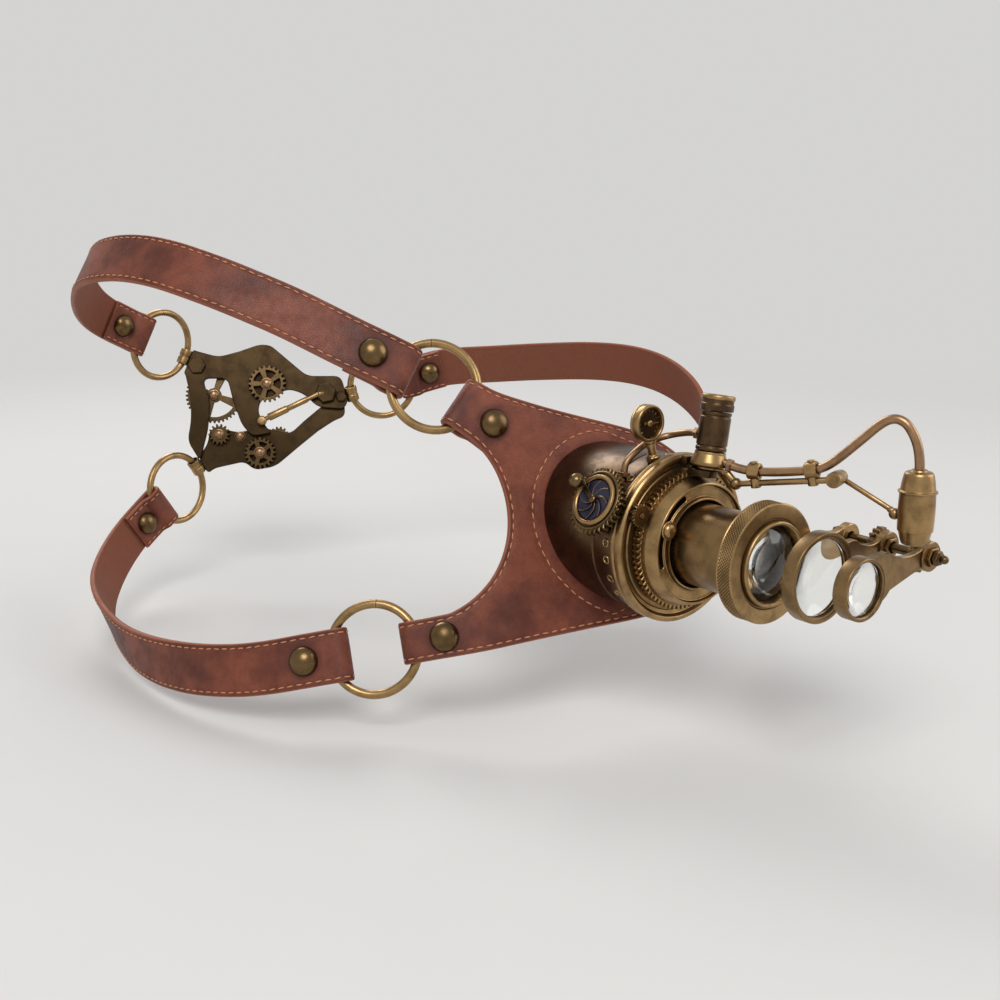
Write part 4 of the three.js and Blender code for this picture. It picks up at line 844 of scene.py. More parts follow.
class Fold:
    """How far a fold's layers stand from its ring's plane; s runs along the layer towards the ring."""

    def __init__(self, thickness, flat=True):
        self.layer = (thickness + LAYER_GAP) / 2
        self.radius = FOLD_ROOM + thickness / 2
        self.lift = self.radius - self.layer if flat else 0.0

    def raised(self, s):
        return self.lift * smooth(LIFT_FROM, LIFT_TO, s)

    def outer(self, s):
        """Rise of the outer layer over its unfolded place."""
        return self.raised(s) + (self.radius - self.layer - self.lift) * smooth(-1.4, 3.2, s)

    def inner(self, s):
        return self.raised(s) + (self.layer - self.lift - self.radius) * smooth(-1.6, 2.8, s)

    def path(self):
        """(s, height) rows from the outer layer round the wire to the inner layer."""
        steps = np.arange(0, FOLD_FLAT + 0.1, 0.4)
        rows = [(s, self.layer + self.outer(s)) for s in steps]
        turns = [math.radians(a) for a in range(75, -76, -15)]
        rows += [(FOLD_FLAT + self.radius * math.cos(a), self.radius * math.sin(a)) for a in turns]
        return rows + [(s, self.inner(s) - self.layer) for s in reversed(steps)]


# Rivets
SIDES = ("upper", "lower", "far")
RIVETS = [f"rivet_{name}" for name in (
    *(f"patch_{side}" for side in SIDES), *(f"{side}_{end}" for end in ("front", "back") for side in SIDES))]
RIVET_SEAT = 2.28
HEAD_CENTRE = Vector((0, 100, 10))


def tree_of(points):
    """Finder of the nearest of some points."""
    tree = kdtree.KDTree(len(points))
    for i, point in enumerate(points):
        tree.insert(point.to_3d(), i)
    tree.balance()
    return tree


def gap(tree, point):
    return tree.find(point.to_3d())[2]


def rivet_axes(thickness):
    """Middle and outward direction of each rivet."""
    raised = Fold(thickness).raised(-RIVET_BACK)
    for node in RIVETS:
        verts = frame["nodes"][node].data.vertices
        points = np.unique((np.array([v.co for v in verts], float) / MM).round(4), axis=0)
        spread, turns = np.linalg.eigh(np.cov((points - points.mean(0)).T))
        unlike = [abs(spread[i - 1] - spread[i - 2]) for i in range(3)]
        middle = Vector(points.mean(0))
        out = Vector(turns[:, int(np.argmin(unlike))])
        out = out if (middle - HEAD_CENTRE).dot(out) > 0 else -out
        yield (middle if node == "rivet_patch_far" else middle + out * raised), out


def rivet_shadows(verts, thickness):
    """Painted contact shadow: 1 beside a rivet's head, fading out over a few millimetres."""
    sides = (RIVET_SEAT, -RIVET_SEAT)
    tree = tree_of([middle + out * side for middle, out in rivet_axes(thickness) for side in sides])
    return [1 - smooth(4.4, 7.8, gap(tree, v)) for v in verts]


# Straps
def strap_sections(node, start_ring):
    """Cross-sections of a CAD strap from its first ring on: centre, half width and outward normal."""
    leather = bpy.context.scene.goggle_leather
    width, depth = leather.strap_width, leather.thickness
    work = bmesh.new()
    work.from_mesh(frame["nodes"][node].data)
    bmesh.ops.remove_doubles(work, verts=work.verts, dist=2e-6)
    close = 0.02

    def across(vert, distance):
        edges = [e for e in vert.link_edges if abs(e.calc_length() / MM - distance) < close]
        return [e.other_vert(vert) for e in edges]

    rungs = {}
    for vert in work.verts:
        for far in across(vert, width):
            for under in across(vert, depth):
                corner = [v for v in across(far, depth) if under in across(v, width)]
                if corner:
                    found = (vert, far, under, corner[0])
                    rungs.setdefault(frozenset(found), found)
    owner = {vert: key for key in rungs for vert in key}
    neighbours = {key: set() for key in rungs}
    for edge in work.edges:
        a, b = (owner.get(v) for v in edge.verts)
        if a and b and a != b:
            neighbours[a].add(b)
            neighbours[b].add(a)
    ring = joint_at(start_ring) * MM
    ends = [key for key in rungs if len(neighbours[key]) == 1]
    chain = [min(ends, key=lambda key: (rungs[key][0].co - ring).length)]
    ahead = chain
    while ahead:
        ahead = [key for key in neighbours[chain[-1]] if key not in chain]
        chain += ahead[:1]
    rows = []
    for key in chain:
        vert, far, under, _ = rungs[key]
        centre = sum((v.co for v in rungs[key]), Vector()) / 4 / MM
        wide = (far.co - vert.co) / MM / 2
        deep = (vert.co - under.co).normalized()
        if rows and wide.dot(Vector(rows[-1][3:6])) < 0:
            wide = -wide
        if rows and deep.dot(Vector(rows[-1][6:])) < 0:
            deep = -deep
        rows.append([*centre, *wide, *deep])
    work.free()
    rows = np.array(rows)
    middle = rows[len(rows) // 2]
    if (middle[:3] - np.array(HEAD_CENTRE)) @ middle[6:] < 0:
        rows[:, 6:] *= -1
    return rows


def folded(rows, ring, thickness):
    """Strap rows whose fold round a ring lies flat outside; the rows start at that fold's flap."""
    fold = Fold(thickness)
    normal = joint_axis(ring)
    centre = joint_at(ring)
    reach = 45
    points = [Vector(row[:3]) for row in rows[:len(rows) // 2]]
    near = [p - centre for p in points if (p - centre).length < RING_RADIUS + 9]
    away = square_to(normal, sum(near, Vector()) / len(near))
    wire = centre + away * RING_RADIUS
    along = [FOLD_WIRE - (p - wire).dot(away) for p in points]
    crest = int(np.argmax(along))
    first = next(k for k in range(crest, len(points)) if along[k] < 0)
    last = max(k for k in range(crest) if along[k] < 0)
    if (points[first] - wire).dot(normal) < 0:
        normal = -normal

    def lifted(part, distances, by):
        for row, s in zip(part, distances):
            at = Vector(row[:3])
            rise = by(s) if (at - wire).length < reach else 0
            yield [*(at + normal * rise), *row[3:]]

    flap = lifted(rows[:last + 1], along, fold.inner)
    main = lifted(rows[first:], along[first:], fold.outer)
    bend = [[*(wire + away * (FOLD_WIRE - s) + normal * z), *rows[crest][3:]] for s, z in fold.path()]
    return np.array([*flap, *reversed(bend), *main, *rows[len(points):].tolist()])


def eased(rows, run, rings):
    """The same strap with the kinks of its free run smoothed out; its folds stay."""
    step = run[1]
    start = round(FOLD_LENGTH / step)
    for part, ring in zip((rows[:, :6], rows[::-1, :6]), rings):
        length, pull = EASE_LONG.get(ring, EASE)
        end = round((FOLD_LENGTH + length) / step)
        t = np.linspace(0, 1, end - start + 1)[:, None]
        leave = (part[start] - part[start - 2]) / 2 * (end - start) * pull
        reach = (part[end + 2] - part[end]) / 2 * (end - start)
        rise = 3 * t ** 2 - 2 * t ** 3
        bow = leave * (t ** 3 - 2 * t ** 2 + t) + reach * (t ** 3 - t ** 2)
        part[start:end + 1] = part[start] * (1 - rise) + part[end] * rise + bow
    ends = np.minimum(run, run[-1] - run)
    share = np.clip((ends - FOLD_LENGTH) / EASE_FADE, 0, 1)[:, None] / 2
    for _ in range(EASE_ROUNDS):
        middle = (rows[:-2, :6] + rows[2:, :6]) / 2
        rows[1:-1, :6] += (middle - rows[1:-1, :6]) * share[1:-1]
    return rows


def strap_rows(node, rings, thickness):
    """Fine rows along a strap with both folds: centre, half width and grain side."""
    rows = strap_sections(node, rings[0])
    grain = Vector(rows[len(rows) // 2][6:])
    for ring in rings:
        rows = folded(rows, ring, thickness)[::-1]
    fine, run = resampled(curve_through(rows, 6), 0.9)
    fine = eased(fine, run, rings)
    fine[:, 6:] = np.cross(np.gradient(fine[:, :3], axis=0), fine[:, 3:6])
    if Vector(fine[len(fine) // 2][6:]).dot(grain) < 0:
        fine[:, 6:] *= -1
    return fine, run


EDGE_FADE = 2.6
EDGE_STEPS = [math.pi * k / 6 for k in range(1, 6)]
EDGE_SQUARE = 0.6


def edge_mark(distance):
    """Mark of a point on the face at a distance from the cut edge."""
    return max(0.0, 1 - distance / EDGE_FADE) * 0.7


def strap_profile(leather):
    """Loop of (across, depth, edge, flesh) round a strap's section, widths in mm."""
    half = leather.strap_width / 2
    flat = half - leather.edge_round
    seam = half - leather.stitch_inset
    upper = leather.thickness / 2
    beside = {side * seam + d for side in (-1, 1) for d in (-0.5, 0, 0.5)}
    marks = sorted({*np.linspace(-flat, flat, 19).round(3), *beside})

    def groove(v):
        return 0.22 * math.exp(-((abs(v) - seam) / 0.42) ** 2)

    rim = []
    for turn in EDGE_STEPS:
        depth = upper * squared(math.cos(turn), EDGE_SQUARE)
        rim.append((flat + leather.edge_round * math.sin(turn), depth, 1.0, 0.0 if depth > -0.5 else 0.5))
    loop = [(v, upper - groove(v), edge_mark(half - abs(v)), 0.0) for v in marks] + rim
    loop += [(v, -upper + groove(v) * 0.4, edge_mark(half - abs(v)) * 0.5, 1.0) for v in reversed(marks)]
    return loop + [(-v, *others) for v, *others in reversed(rim)]


def build_strap(node, rings):
    """One strap with both its folded ends, and its stitches."""
    leather = bpy.context.scene.goggle_leather
    fine, run = strap_rows(node, rings, leather.thickness)
    profile = strap_profile(leather)
    shell = []
    edges = []
    flesh = []
    seams = ([], [])
    total = run[-1]
    seam = leather.strap_width / 2 - leather.stitch_inset
    lead = 1.2
    for row, at in zip(fine, run):
        centre = Vector(row[:3])
        normal = Vector(row[6:]).normalized()
        wide = square_to(normal, Vector(row[3:6]))
        end = min(at, total - at)
        thin = 0.72 + 0.28 * min(1.0, end / 0.8) ** 0.5
        end_mark = 1.0 if end < 0.3 else max(0.0, 0.7 - end / 3)
        drift = 0.12 * noise.noise(Vector((at * 0.05, len(node), 0)))
        ring = []
        for across, depth, edge, back in profile:
            ripple = 0.05 * noise.noise(Vector((at * 0.11, across * 0.2, len(node))))
            ring.append(centre + wide * (across + drift) + normal * (depth * thin + ripple))
            edges.append(max(edge, end_mark))
            flesh.append(back)
        shell.append(ring)
        if lead < at < total - lead:
            for line, side in zip(seams, (-1, 1)):
                place = centre + wide * (side * seam + drift) + normal * (leather.thickness / 2 - 0.02)
                line.append((place, normal))
    piece = Piece().add(skin(shell, caps=True))
    # The last mark is painted shadow round the rivet heads
    marks = {"edge": edges, "flesh": flesh, "rivet_shadow": rivet_shadows(piece.verts, leather.thickness)}
    piece.dress(node, "hide", "headgear", "leather", "leather", smooth=50, marks=marks)
    stitched(node + "_stitches", seams, "headgear")


class GOGGLE_OT_straps(bpy.types.Operator):
    """Three leather straps folded round their rings, with stitched edges"""
    bl_idname = "goggle.straps"
    bl_label = "Straps"

    def execute(self, context):
        for side in SIDES:
            build_strap("strap_" + side, [f"ring_{side}_{end}_turn" for end in ("front", "back")])
        return {"FINISHED"}


# Eye patch: a flat pattern, and where each point of it ends up
FACE = axes((0, -11, 0), (-0.3, -1, 0.4), (1, -0.3, 0))
FACE_OUT = FACE.to_3x3().col[2]
LEFT_BEND_START = -40.0
LEFT_BEND = 0.0085
RIGHT_BEND_START = 29.0
RIGHT_BEND_END = 33.2
RIGHT_BEND = 0.22
CUT_CENTRE = Vector((-74.5, 7.5))
CUT_RADIUS = 34.3
NECK_ROOM = 24.85
RIVET_ROOM = 2.0
SEAM_CIRCLE = 30.5


def bends(x):
    """Distances into the patch's left and right bends."""
    return min(0.0, x - LEFT_BEND_START), min(max(x, RIGHT_BEND_START), RIGHT_BEND_END) - RIGHT_BEND_START


def sheet_bend(x):
    left, right = bends(x)
    return -LEFT_BEND * left ** 2 - RIGHT_BEND * right * (right + 2 * max(0.0, x - RIGHT_BEND_END))


def sheet_slope(x):
    left, right = bends(x)
    return -2 * LEFT_BEND * left - 2 * RIGHT_BEND * right


def sheet_normal(x):
    return Vector((-sheet_slope(x), 0, 1)).normalized()


class Arm:
    """One arm of the patch, with the fold that it makes round a ring."""

    def __init__(self, x, y, degrees, half, thickness, flat=True):
        slope = sheet_slope(x)
        self.at = Vector((x, y))
        self.flat = spun(1, math.radians(degrees))
        self.side = Vector((-self.flat.y, self.flat.x))
        self.half = half
        self.fold = Fold(thickness, flat)
        self.n = sheet_normal(x)
        self.t = Vector((*self.flat, slope * self.flat.x)).normalized()
        self.w = self.n.cross(self.t)
        self.stretch = math.hypot(1, slope * self.flat.x)
        self.thickness = thickness
        self.seat = self.middle(self.at)
        fine, self.run = resampled(curve_through([(s, z, 0) for s, z in self.fold.path()], 4), 0.12)
        self.path = fine[:, :2]
        self.reach = self.run[-1] + FOLD_TAIL

    def middle(self, spot):
        """Middle of the hide at a pattern point."""
        return Vector((spot.x, spot.y, sheet_bend(spot.x) - self.thickness / 2))

    def local(self, x, y):
        away = Vector((x, y)) - self.at
        return away.dot(self.flat), away.dot(self.side)

    def point(self, s, v):
        return self.at + self.flat * s + self.side * v

    def behind(self, distance):
        """Pattern point a distance back along the sheet."""
        here = self.at.copy()
        steps = 20
        for _ in range(steps):
            here -= self.flat * (distance / steps / math.hypot(1, sheet_slope(here.x) * self.flat.x))
        return here

    def on_path(self, s):
        return np.array([np.interp(s, self.run, column) for column in self.path.T])

    def place(self, s, v, depth):
        """Where a point of the arm ends up, before, in and after its fold."""
        fold = self.fold
        across = self.w * v
        if s <= 0:
            return self.seat + self.t * (s * self.stretch) + across + self.n * (depth + fold.outer(s))
        if s < self.run[-1]:
            q, z = self.on_path(s)
            along = self.on_path(s + 0.3) - self.on_path(s - 0.3)
            dq, dz = along / max(1e-9, np.linalg.norm(along))
            bend = self.t * (q - dz * depth) + self.n * (z + dq * depth - fold.layer)
            return self.seat + across + bend
        back = s - self.run[-1]
        spot = self.behind(back)
        below = sheet_normal(spot.x) * (2 * fold.layer + depth)
        return self.middle(spot) + across - below + self.n * fold.inner(-back)


class Patch:
    """The flat pattern of the eye patch."""

    def __init__(self, leather):
        self.half = leather.thickness / 2
        strap = leather.strap_width / 2
        self.upper = Arm(-45.8, 39.8, 140, strap, leather.thickness)
        self.lower = Arm(-69.9, -32.4, 183, 7, leather.thickness)
        self.far = Arm(38, -2, 8, strap, leather.thickness, False)
        self.arms = (self.upper, self.lower, self.far)
        self.outline = self.make_outline()

    def place(self, p, depth):
        """Where a pattern point at a depth over the middle of the hide ends up."""
        normal = sheet_normal(p.x)
        spot = Vector((p.x, p.y, sheet_bend(p.x) - self.half)) + normal * depth
        for arm in self.arms:
            s, v = arm.local(p.x, p.y)
            beside = abs(v) - arm.half
            if s > 0 and beside < 1.5:
                return FACE @ arm.place(s, v, depth)
            if s <= 0:
                spot = spot + normal * (arm.fold.raised(s) * (1 - smooth(1, 20, beside)))
                share = smooth(-9, 0, s) * (1 - smooth(1.5, 6, beside))
                spot = spot.lerp(arm.place(s, v, depth), share) if share > 0 else spot
        return FACE @ spot

    def make_outline(self):
        def end(arm):
            return [arm.point(arm.reach, side * arm.half) for side in (1, -1)]

        def flowing(points):
            return [Vector(row[:2]) for row in curve_through([(*p[:2], 0) for p in points], 6)]

        upper, far, lower = self.upper, self.far, self.lower
        top = flowing([
            upper.point(8, -upper.half), upper.point(-1, -upper.half - 1.3), (-29.3, 43.8), (-13.9, 39.1),
            (9.5, 31.9), (18, 28.2), (25.5, 22.6), (29, 18.6), (32, 14), far.point(0, far.half)])
        bottom = flowing([
            far.point(0, -far.half), (33, -18), (29, -24), (25.5, -27.2), (16, -31.6), (6, -33.6),
            (-17.2, -35.5), (-36, -37), (-53, -38.5), lower.point(0, lower.half)])
        turns = [math.radians(a) for a in range(-70, 49, 3)]
        eye = [CUT_CENTRE + spun(CUT_RADIUS, a) for a in turns]
        cut = flowing([lower.point(0, -lower.half), *eye, upper.point(0, upper.half)])
        loop = end(upper) + top + end(far) + bottom + end(lower) + cut
        loop = softened(loop[::-1], 1.8, 4)
        rows = np.array([(*p, 0) for p in loop + loop[:1]])
        return [Vector(row[:2]) for row in resampled(rows, 1.1)[0][:-1]]

    def ellipse(self, radius, depth, count):
        """Pattern points where a cylinder about the barrel's axis meets the hide."""
        points = []
        for k in range(count):
            x, z = spun(radius, TAU * k / count)
            y = FACE.translation.y + (depth - x * FACE_OUT.x - z * FACE_OUT.z) / FACE_OUT.y
            points.append((FACE.inverted() @ Vector((x, y, z))).xy)
        return points


def inside(points, outline):
    """Which points lie inside a closed outline."""
    points = np.asarray([tuple(p) for p in points])
    ring = np.asarray([tuple(p) for p in outline])
    after = np.roll(ring, -1, axis=0)
    x, y = points[:, :1], points[:, 1:2]
    over = (ring[:, 1] > y) != (after[:, 1] > y)
    rise = after[:, 1] - ring[:, 1]
    rise[np.abs(rise) < 1e-12] = 1e-12
    cross = ring[:, 0] + (y - ring[:, 1]) / rise * (after[:, 0] - ring[:, 0])
    return (over & (x < cross)).sum(axis=1) % 2 == 1


def within(points, outline):
    return [p for p, good in zip(points, inside(points, outline)) if good]


def patch_grid(patch, fixed):
    """Inner points of the pattern, closer together where the hide bends."""
    tree = tree_of(fixed)
    grid = []
    for arm in patch.arms:
        for s in np.arange(-5, arm.reach, 0.55):
            grid += [arm.point(s, v) for v in np.linspace(-arm.half, arm.half, round(arm.half * 1.4))]
    for x in np.arange(RIGHT_BEND_START - 1, 40, 0.4):
        grid += [Vector((x, y)) for y in np.arange(-30, 22, 1.5)]
    for row, y in enumerate(np.arange(-42, 52, 1.25)):
        grid += [Vector((x + row % 2 * 0.7, y)) for x in np.arange(-72, RIGHT_BEND_START - 1.2, 1.4)]
    cells = {}
    for p in within([p for p in grid if gap(tree, p) > 0.55], patch.outline):
        cells.setdefault((round(p.x / 0.35), round(p.y / 0.9)), p)
    return list(cells.values())


def build_patch():
    """The patch with its three folded arms, and its stitches."""
    leather = bpy.context.scene.goggle_leather
    patch = Patch(leather)
    half = patch.half
    edge = leather.edge_round
    neck = patch.ellipse(NECK_ROOM + edge, -half, 120)
    if signed_area(neck) > 0:
        neck.reverse()
    loops = [inset(patch.outline, edge), neck]
    for arm in patch.arms:
        for spot in (arm.behind(RIVET_BACK), arm.point(arm.run[-1] + RIVET_BACK, 0)):
            loops.append(circle(RIVET_ROOM + edge, 14, spot)[::-1])
    seam = inset(patch.outline, leather.stitch_inset)
    seam_circle = within(patch.ellipse(SEAM_CIRCLE, half, 150), inset(patch.outline, 3.2))
    rim = [p for loop in loops for p in loop]
    beside_rim = tree_of(rim)
    grooves = [p for p in seam + seam_circle if gap(beside_rim, p) > 0.25]
    extra = [p for p in inset(seam, -0.55) + inset(seam, 0.55) if gap(beside_rim, p) > 0.25]
    fixed = rim + grooves + extra
    edges = []
    starts = []
    for loop in loops:
        start = len(edges)
        starts.append(start)
        edges += [(start + i, start + (i + 1) % len(loop)) for i in range(len(loop))]
    points = fixed + patch_grid(patch, fixed)
    verts, _, faces, origins, _, _ = geometry.delaunay_2d_cdt(points, edges, [], 0, 1e-5)
    centres = [sum((verts[i] for i in face), Vector((0, 0))) / 3 for face in faces]
    keep = inside(centres, loops[0])
    for hole in loops[1:]:
        keep &= ~inside(centres, hole)
    faces = [list(face) for face, good in zip(faces, keep) if good]
    number = {origin: i for i, sources in enumerate(origins) for origin in sources}
    near_edge = tree_of(patch.outline)
    near_seam = tree_of(grooves)
    spots = []
    edge_marks = []
    flesh_marks = []

    def put(p, depth, mark, flesh):
        spots.append(patch.place(p, depth))
        edge_marks.append(mark)
        flesh_marks.append(flesh)

    for p in verts:
        dip = 0.24 * math.exp(-(gap(near_seam, p) / 0.4) ** 2)
        put(p, half - dip, edge_mark(gap(near_edge, p)), 0.0)
    for p in verts:
        put(p, -half, edge_mark(gap(near_edge, p)), 1.0)
    count = len(verts)
    faces += [[i + count for i in reversed(face)] for face in faces]
    for loop, start in zip(loops, starts):
        rows = [[number[start + i] for i in range(len(loop))]]
        outer = inset(loop, -1)
        for turn in EDGE_STEPS:
            row = len(spots)
            for p, away in zip(loop, outer):
                rounded = p + (away - p).normalized() * edge * math.sin(turn)
                put(rounded, half * squared(math.cos(turn), EDGE_SQUARE), 1.0, 0.0 if turn < 2 else 0.5)
            rows.append(list(range(row, len(spots))))
        rows.append([n + count for n in rows[0]])
        faces += strips(rows)
    # The last mark is painted shadow round the rivet heads
    marks = {"edge": edge_marks, "flesh": flesh_marks, "rivet_shadow": rivet_shadows(spots, leather.thickness)}
    hide = Piece().add((spots, faces))
    hide.dress("eye_patch", "hide", "headgear", "leather", "leather", smooth=60, marks=marks)

    def sewn(points):
        for p in points:
            low = patch.place(p, half - 0.05)
            yield low, (patch.place(p, half + 1) - low).normalized()

    stitched("eye_patch_stitches", [sewn(seam), sewn(seam_circle + seam_circle[:1])], "headgear")


class GOGGLE_OT_patch(bpy.types.Operator):
    """Eye patch with three folded arms and a stitched edge"""
    bl_idname = "goggle.patch"
    bl_label = "Eye patch"

    def execute(self, context):
        build_patch()
        return {"FINISHED"}


def axis_at(depth):
    """The barrel's axis in the face frame at a height over the hide's face."""
    return FACE.inverted() @ Vector((0, FACE.translation.y + depth / FACE_OUT.y, 0))


class GOGGLE_OT_pad(bpy.types.Operator):
    """Stuffed suede ring behind the eye patch, and the clamp ring in front of it"""
    bl_idname = "goggle.pad"
    bl_label = "Face pad"

    def execute(self, context):
        clamp = [(24.9, -4.7), (29.4, -4.7), (29.4, -2.5), (24.9, -2.5)]
        at = axis_at(-3.6)
        turned(clamp, "clamp_ring", "turned", "headgear", "dark_bronze", "bronze",
               place=shifted(FACE, at.x, at.y))
        self.stuffed()
        return {"FINISHED"}

    def stuffed(self):
        inner, outer = 26.1, 30.5
        front, back = -5.0, -11.1
        puckers = 26
        middle, level = (inner + outer) / 2, (front + back) / 2
        width, height = (outer - inner) / 2, (front - back) / 2
        at = axis_at(level)
        rings = []
        for turn in (TAU * k / 40 for k in range(40)):
            ring = []
            for angle in (TAU * i / (puckers * 8) for i in range(puckers * 8)):
                gather = 0.5 + 0.5 * math.cos(puckers * angle)
                full = 1 - 0.1 * gather ** 3 * abs(math.cos(turn))
                puff = 0.12 * noise.noise(Vector((*spun(3, angle), turn)))
                out = spun(middle + squared(math.cos(turn), 0.75) * width * full + puff * 0.5, angle)
                rise = squared(math.sin(turn), 0.75) * height * full * (1 + puff * 0.2)
                ring.append(FACE @ Vector((at.x + out.x, at.y + out.y, min(front, level + rise))))
            rings.append(ring)
        pad = Piece().add(skin(rings, True))
        pad.dress("face_pad", "suede", "headgear", "pad_suede", "suede", smooth=80)


class GOGGLE_OT_rings(bpy.types.Operator):
    """Wire rings and domed rivets at the strap ends"""
    bl_idname = "goggle.rings"
    bl_label = "Rings and rivets"

    wire = 1.5
    split = 0.35

    def execute(self, context):
        turns = np.radians((self.split, 360 - self.split))
        for node in (f"ring_{side}_{end}" for end in ("front", "back") for side in SIDES):
            place = joint_frame(node + "_turn", (0, 0, 1))
            path = [place @ p.to_3d() for p in arc(RING_RADIUS, *turns, 121)]
            Piece().add(tube(path, self.wire)).dress(node, "wire", node, "antique_brass", "brass")
        self.rivets()
        return {"FINISHED"}

    def rivets(self):
        seats = []
        shanks = Piece()
        for middle, out in rivet_axes(bpy.context.scene.goggle_leather.thickness):
            seats += [(middle + out * RIVET_SEAT, out), (middle - out * RIVET_SEAT, -out)]
            shanks.add(rod(middle - out * 2.6, middle + out * 2.6, 1.4))
        head = lathe([(0, 0), (4.8, 0), *dome(4.95, 0.3, 3.8, (0, 82), 11), (0, 4.1)], 44, 0)
        studded("rivet_domes", head, seats, "rivet", "headgear", "antique_brass", *RIVETS)
        shanks.finish("rivet_shanks", "headgear", "antique_brass", "rivet")


# Eye barrel
def slanted(profile, segments=120):
    """Turned tube whose rows below height 1 follow the slanted hide."""
    rings = []
    for radius, height in softened(profile, 0.25, 2):
        ring = []
        for p in circle(radius, segments):
            hide = (p.x * FACE_OUT.x + p.y * FACE_OUT.z) / FACE_OUT.y - FACE.translation.y
            ring.append((*p, height + hide if height < 1 else height))
        rings.append(ring)
    return skin(rings, True)


def crank_place():
    return shifted(joint_frame("crank_spin", (0, -1, 0)), 0, 0, -30)


class GOGGLE_OT_barrel(bpy.types.Operator):
    """Eye barrel with its lens, flange, clamp band and studs"""
    bl_idname = "goggle.barrel"
    bl_label = "Eye barrel"

    def execute(self, context):
        wall = [
            (24, -7.9), (24, 0.3), (26.5, 0.3), (26.5, 26.6), (26.2, 26.9), (26.2, 27.4), (26.6, 27.7),
            (26.6, 35.2), (26.2, 35.5), (26.2, 36), (26.5, 36.3), (26.5, 36.7), (21, 36.7), (21, 32),
            (18.6, 32), (18.6, 30), (21, 30), (21, -7.9)]
        barrel = Piece(FORWARD).add(slanted(wall))
        barrel.add(pin(3, 24.5, 28.6, 32), pin(1.5, 26, 31.2), place=crank_place())
        barrel.dress("main_barrel", "turned", "headgear", "dark_bronze", "bronze")
        glass = lens(20.4, 26.4, 2.2, 29.7, 1.6, (12, 12))
        turned(glass, "eyepiece_lens", "ground", "headgear", "lens_glass", "glass", fillet=0)
        retainer = [(18.4, 22.2), (20.7, 22.2), (20.7, 25.9), (19.8, 25.9)]
        turned(retainer, "eyepiece_retainer", "turned", "headgear", "antique_brass", "brass")
        self.flange()
        self.studs()
        return {"FINISHED"}

    def flange(self):
        profile = [
            (13.9, 33), (16, 33), (16, 37), (28, 37), (28, 38), (27.65, 38.2), (27.65, 38.6), (28, 38.8),
            (28, 40.6), (27.3, 41.4), (26.2, 41.4), (25.4, 40), (24.1, 40), (23.9, 39.7), (23.5, 39.7),
            (23.3, 40), (13.9, 40)]
        flange = Piece().add(lathe(profile, 128), place=FORWARD)
        flange.add(rod(polar(25.18, 152.5, 38), polar(25.18, 152.5, 45.4), 0.8))
        flange.dress("front_flange", "turned", "headgear", "antique_brass", "brass")

    def studs(self):
        eyelet = [(0.85, -0.3), (1.45, -0.3), (1.5, 0.2), (1.3, 0.45), (1.05, 0.45), (0.85, 0.2)]
        degrees = (89.4, 128.5, 177.4, 189.5, 204.4, 218)
        seats = [(polar(26.5, turn, 33.5), polar(1, turn, 0)) for turn in degrees]
        studded("barrel_eyelets", lathe(eyelet, 28, 0.12), seats, "brass", "headgear", "antique_brass")


class GOGGLE_OT_focus(bpy.types.Operator):
    """Focus ring with its slot, guide peg, pinion and sliding tube"""
    bl_idname = "goggle.focus"
    bl_label = "Focus train"

    slot_middle = 156.0
    slot_half = 44.0

    def execute(self, context):
        self.ring()
        peg = [
            (0, 40), (0.9, 40), (0.9, 48.9), (1.85, 48.9), (1.85, 50.2), (3.05, 50.25), (3.1, 50.6),
            (2.8, 50.85), *dome(2.4, 50.75, 1.6, (0, 80), 8), (0, 52.35)]
        at = Matrix.Translation(polar(17.1, self.slot_middle, 0))
        turned(peg, "guide_peg", "turned", "headgear", "antique_brass", "brass",
               place=at @ FORWARD, segments=32, fillet=0.1)
        spindle = joint_at("pinion_spin")
        place = Matrix.Translation((spindle.x, 0, spindle.z)) @ FORWARD
        teeth = toothed(8, 3, 1.75, 0.4, math.radians(152.5), 0.15)
        pinion = Piece(place).add(plate([teeth, circle(1.1, 24)], 41.8, 44.3, 0.15))
        pinion.add(plate([toothed(20, 3.7, 3.15, 0.5, 0, 0.08), circle(1, 24)], 44.4, 45.15, 0.12))
        pinion.add(washer(1.6, 1.05, 44.1, 44.6, 0.1, (32, 24)))
        pinion.dress("pinion", "cut", "pinion", "copper", "rivet")
        wall = [(11.6, 36), (13.4, 36), (13.4, 71.6), (13.1, 71.8), (13.1, 73), (11.6, 73)]
        turned(wall, "focus_tube", "turned", "focus_tube", "dark_bronze", "tube", segments=112)
        return {"FINISHED"}

    def ring(self):
        outer = [(19.2, 40.3), (21.2, 40.3), (21.2, 45.7), (20.1, 49.5), (19.9, 49.9), (19.2, 50)]
        inner = [(14.4, 40.3), (15.1, 40.3), (15.1, 50), (14.4, 50)]
        ring = Piece(FORWARD).add(lathe(outer, 128), lathe(inner))
        ring.add(plate([toothed(72, 23, 21.7, 0.44), circle(20.9, 144)], 41.8, 44.3, 0.15))
        face = [circle(19.3, 144), circle(15, 120), self.slot(18.1, 16.1)]
        ring.add(plate(face, 46.4, 48.6, 0.15))
        for radius in (15.45, 18.8):
            line = [FORWARD @ Vector((*p, 48.6)) for p in circle(radius, 144)]
            ring.add(tube(line, 0.3, 10, True), place=Matrix())
        ring.dress("focus_ring", "cut", "focus_ring", "antique_brass", "brass")

    def slot(self, outer, inner):
        """Slot outline with round ends, between two radii."""
        middle, half = (outer + inner) / 2, (outer - inner) / 2
        back = half / middle
        low = math.radians(self.slot_middle - self.slot_half) + back
        high = math.radians(self.slot_middle + self.slot_half) - back

        def round_end(turn, way):
            for swing in (math.pi * k / 8 for k in range(1, 8)):
                yield spun(middle + way * half * math.cos(swing), turn + way * back * math.sin(swing))

        ends = [*round_end(high, 1)], [*round_end(low, -1)]
        return arc(outer, low, high, 40) + ends[0] + arc(inner, high, low, 40) + ends[1]


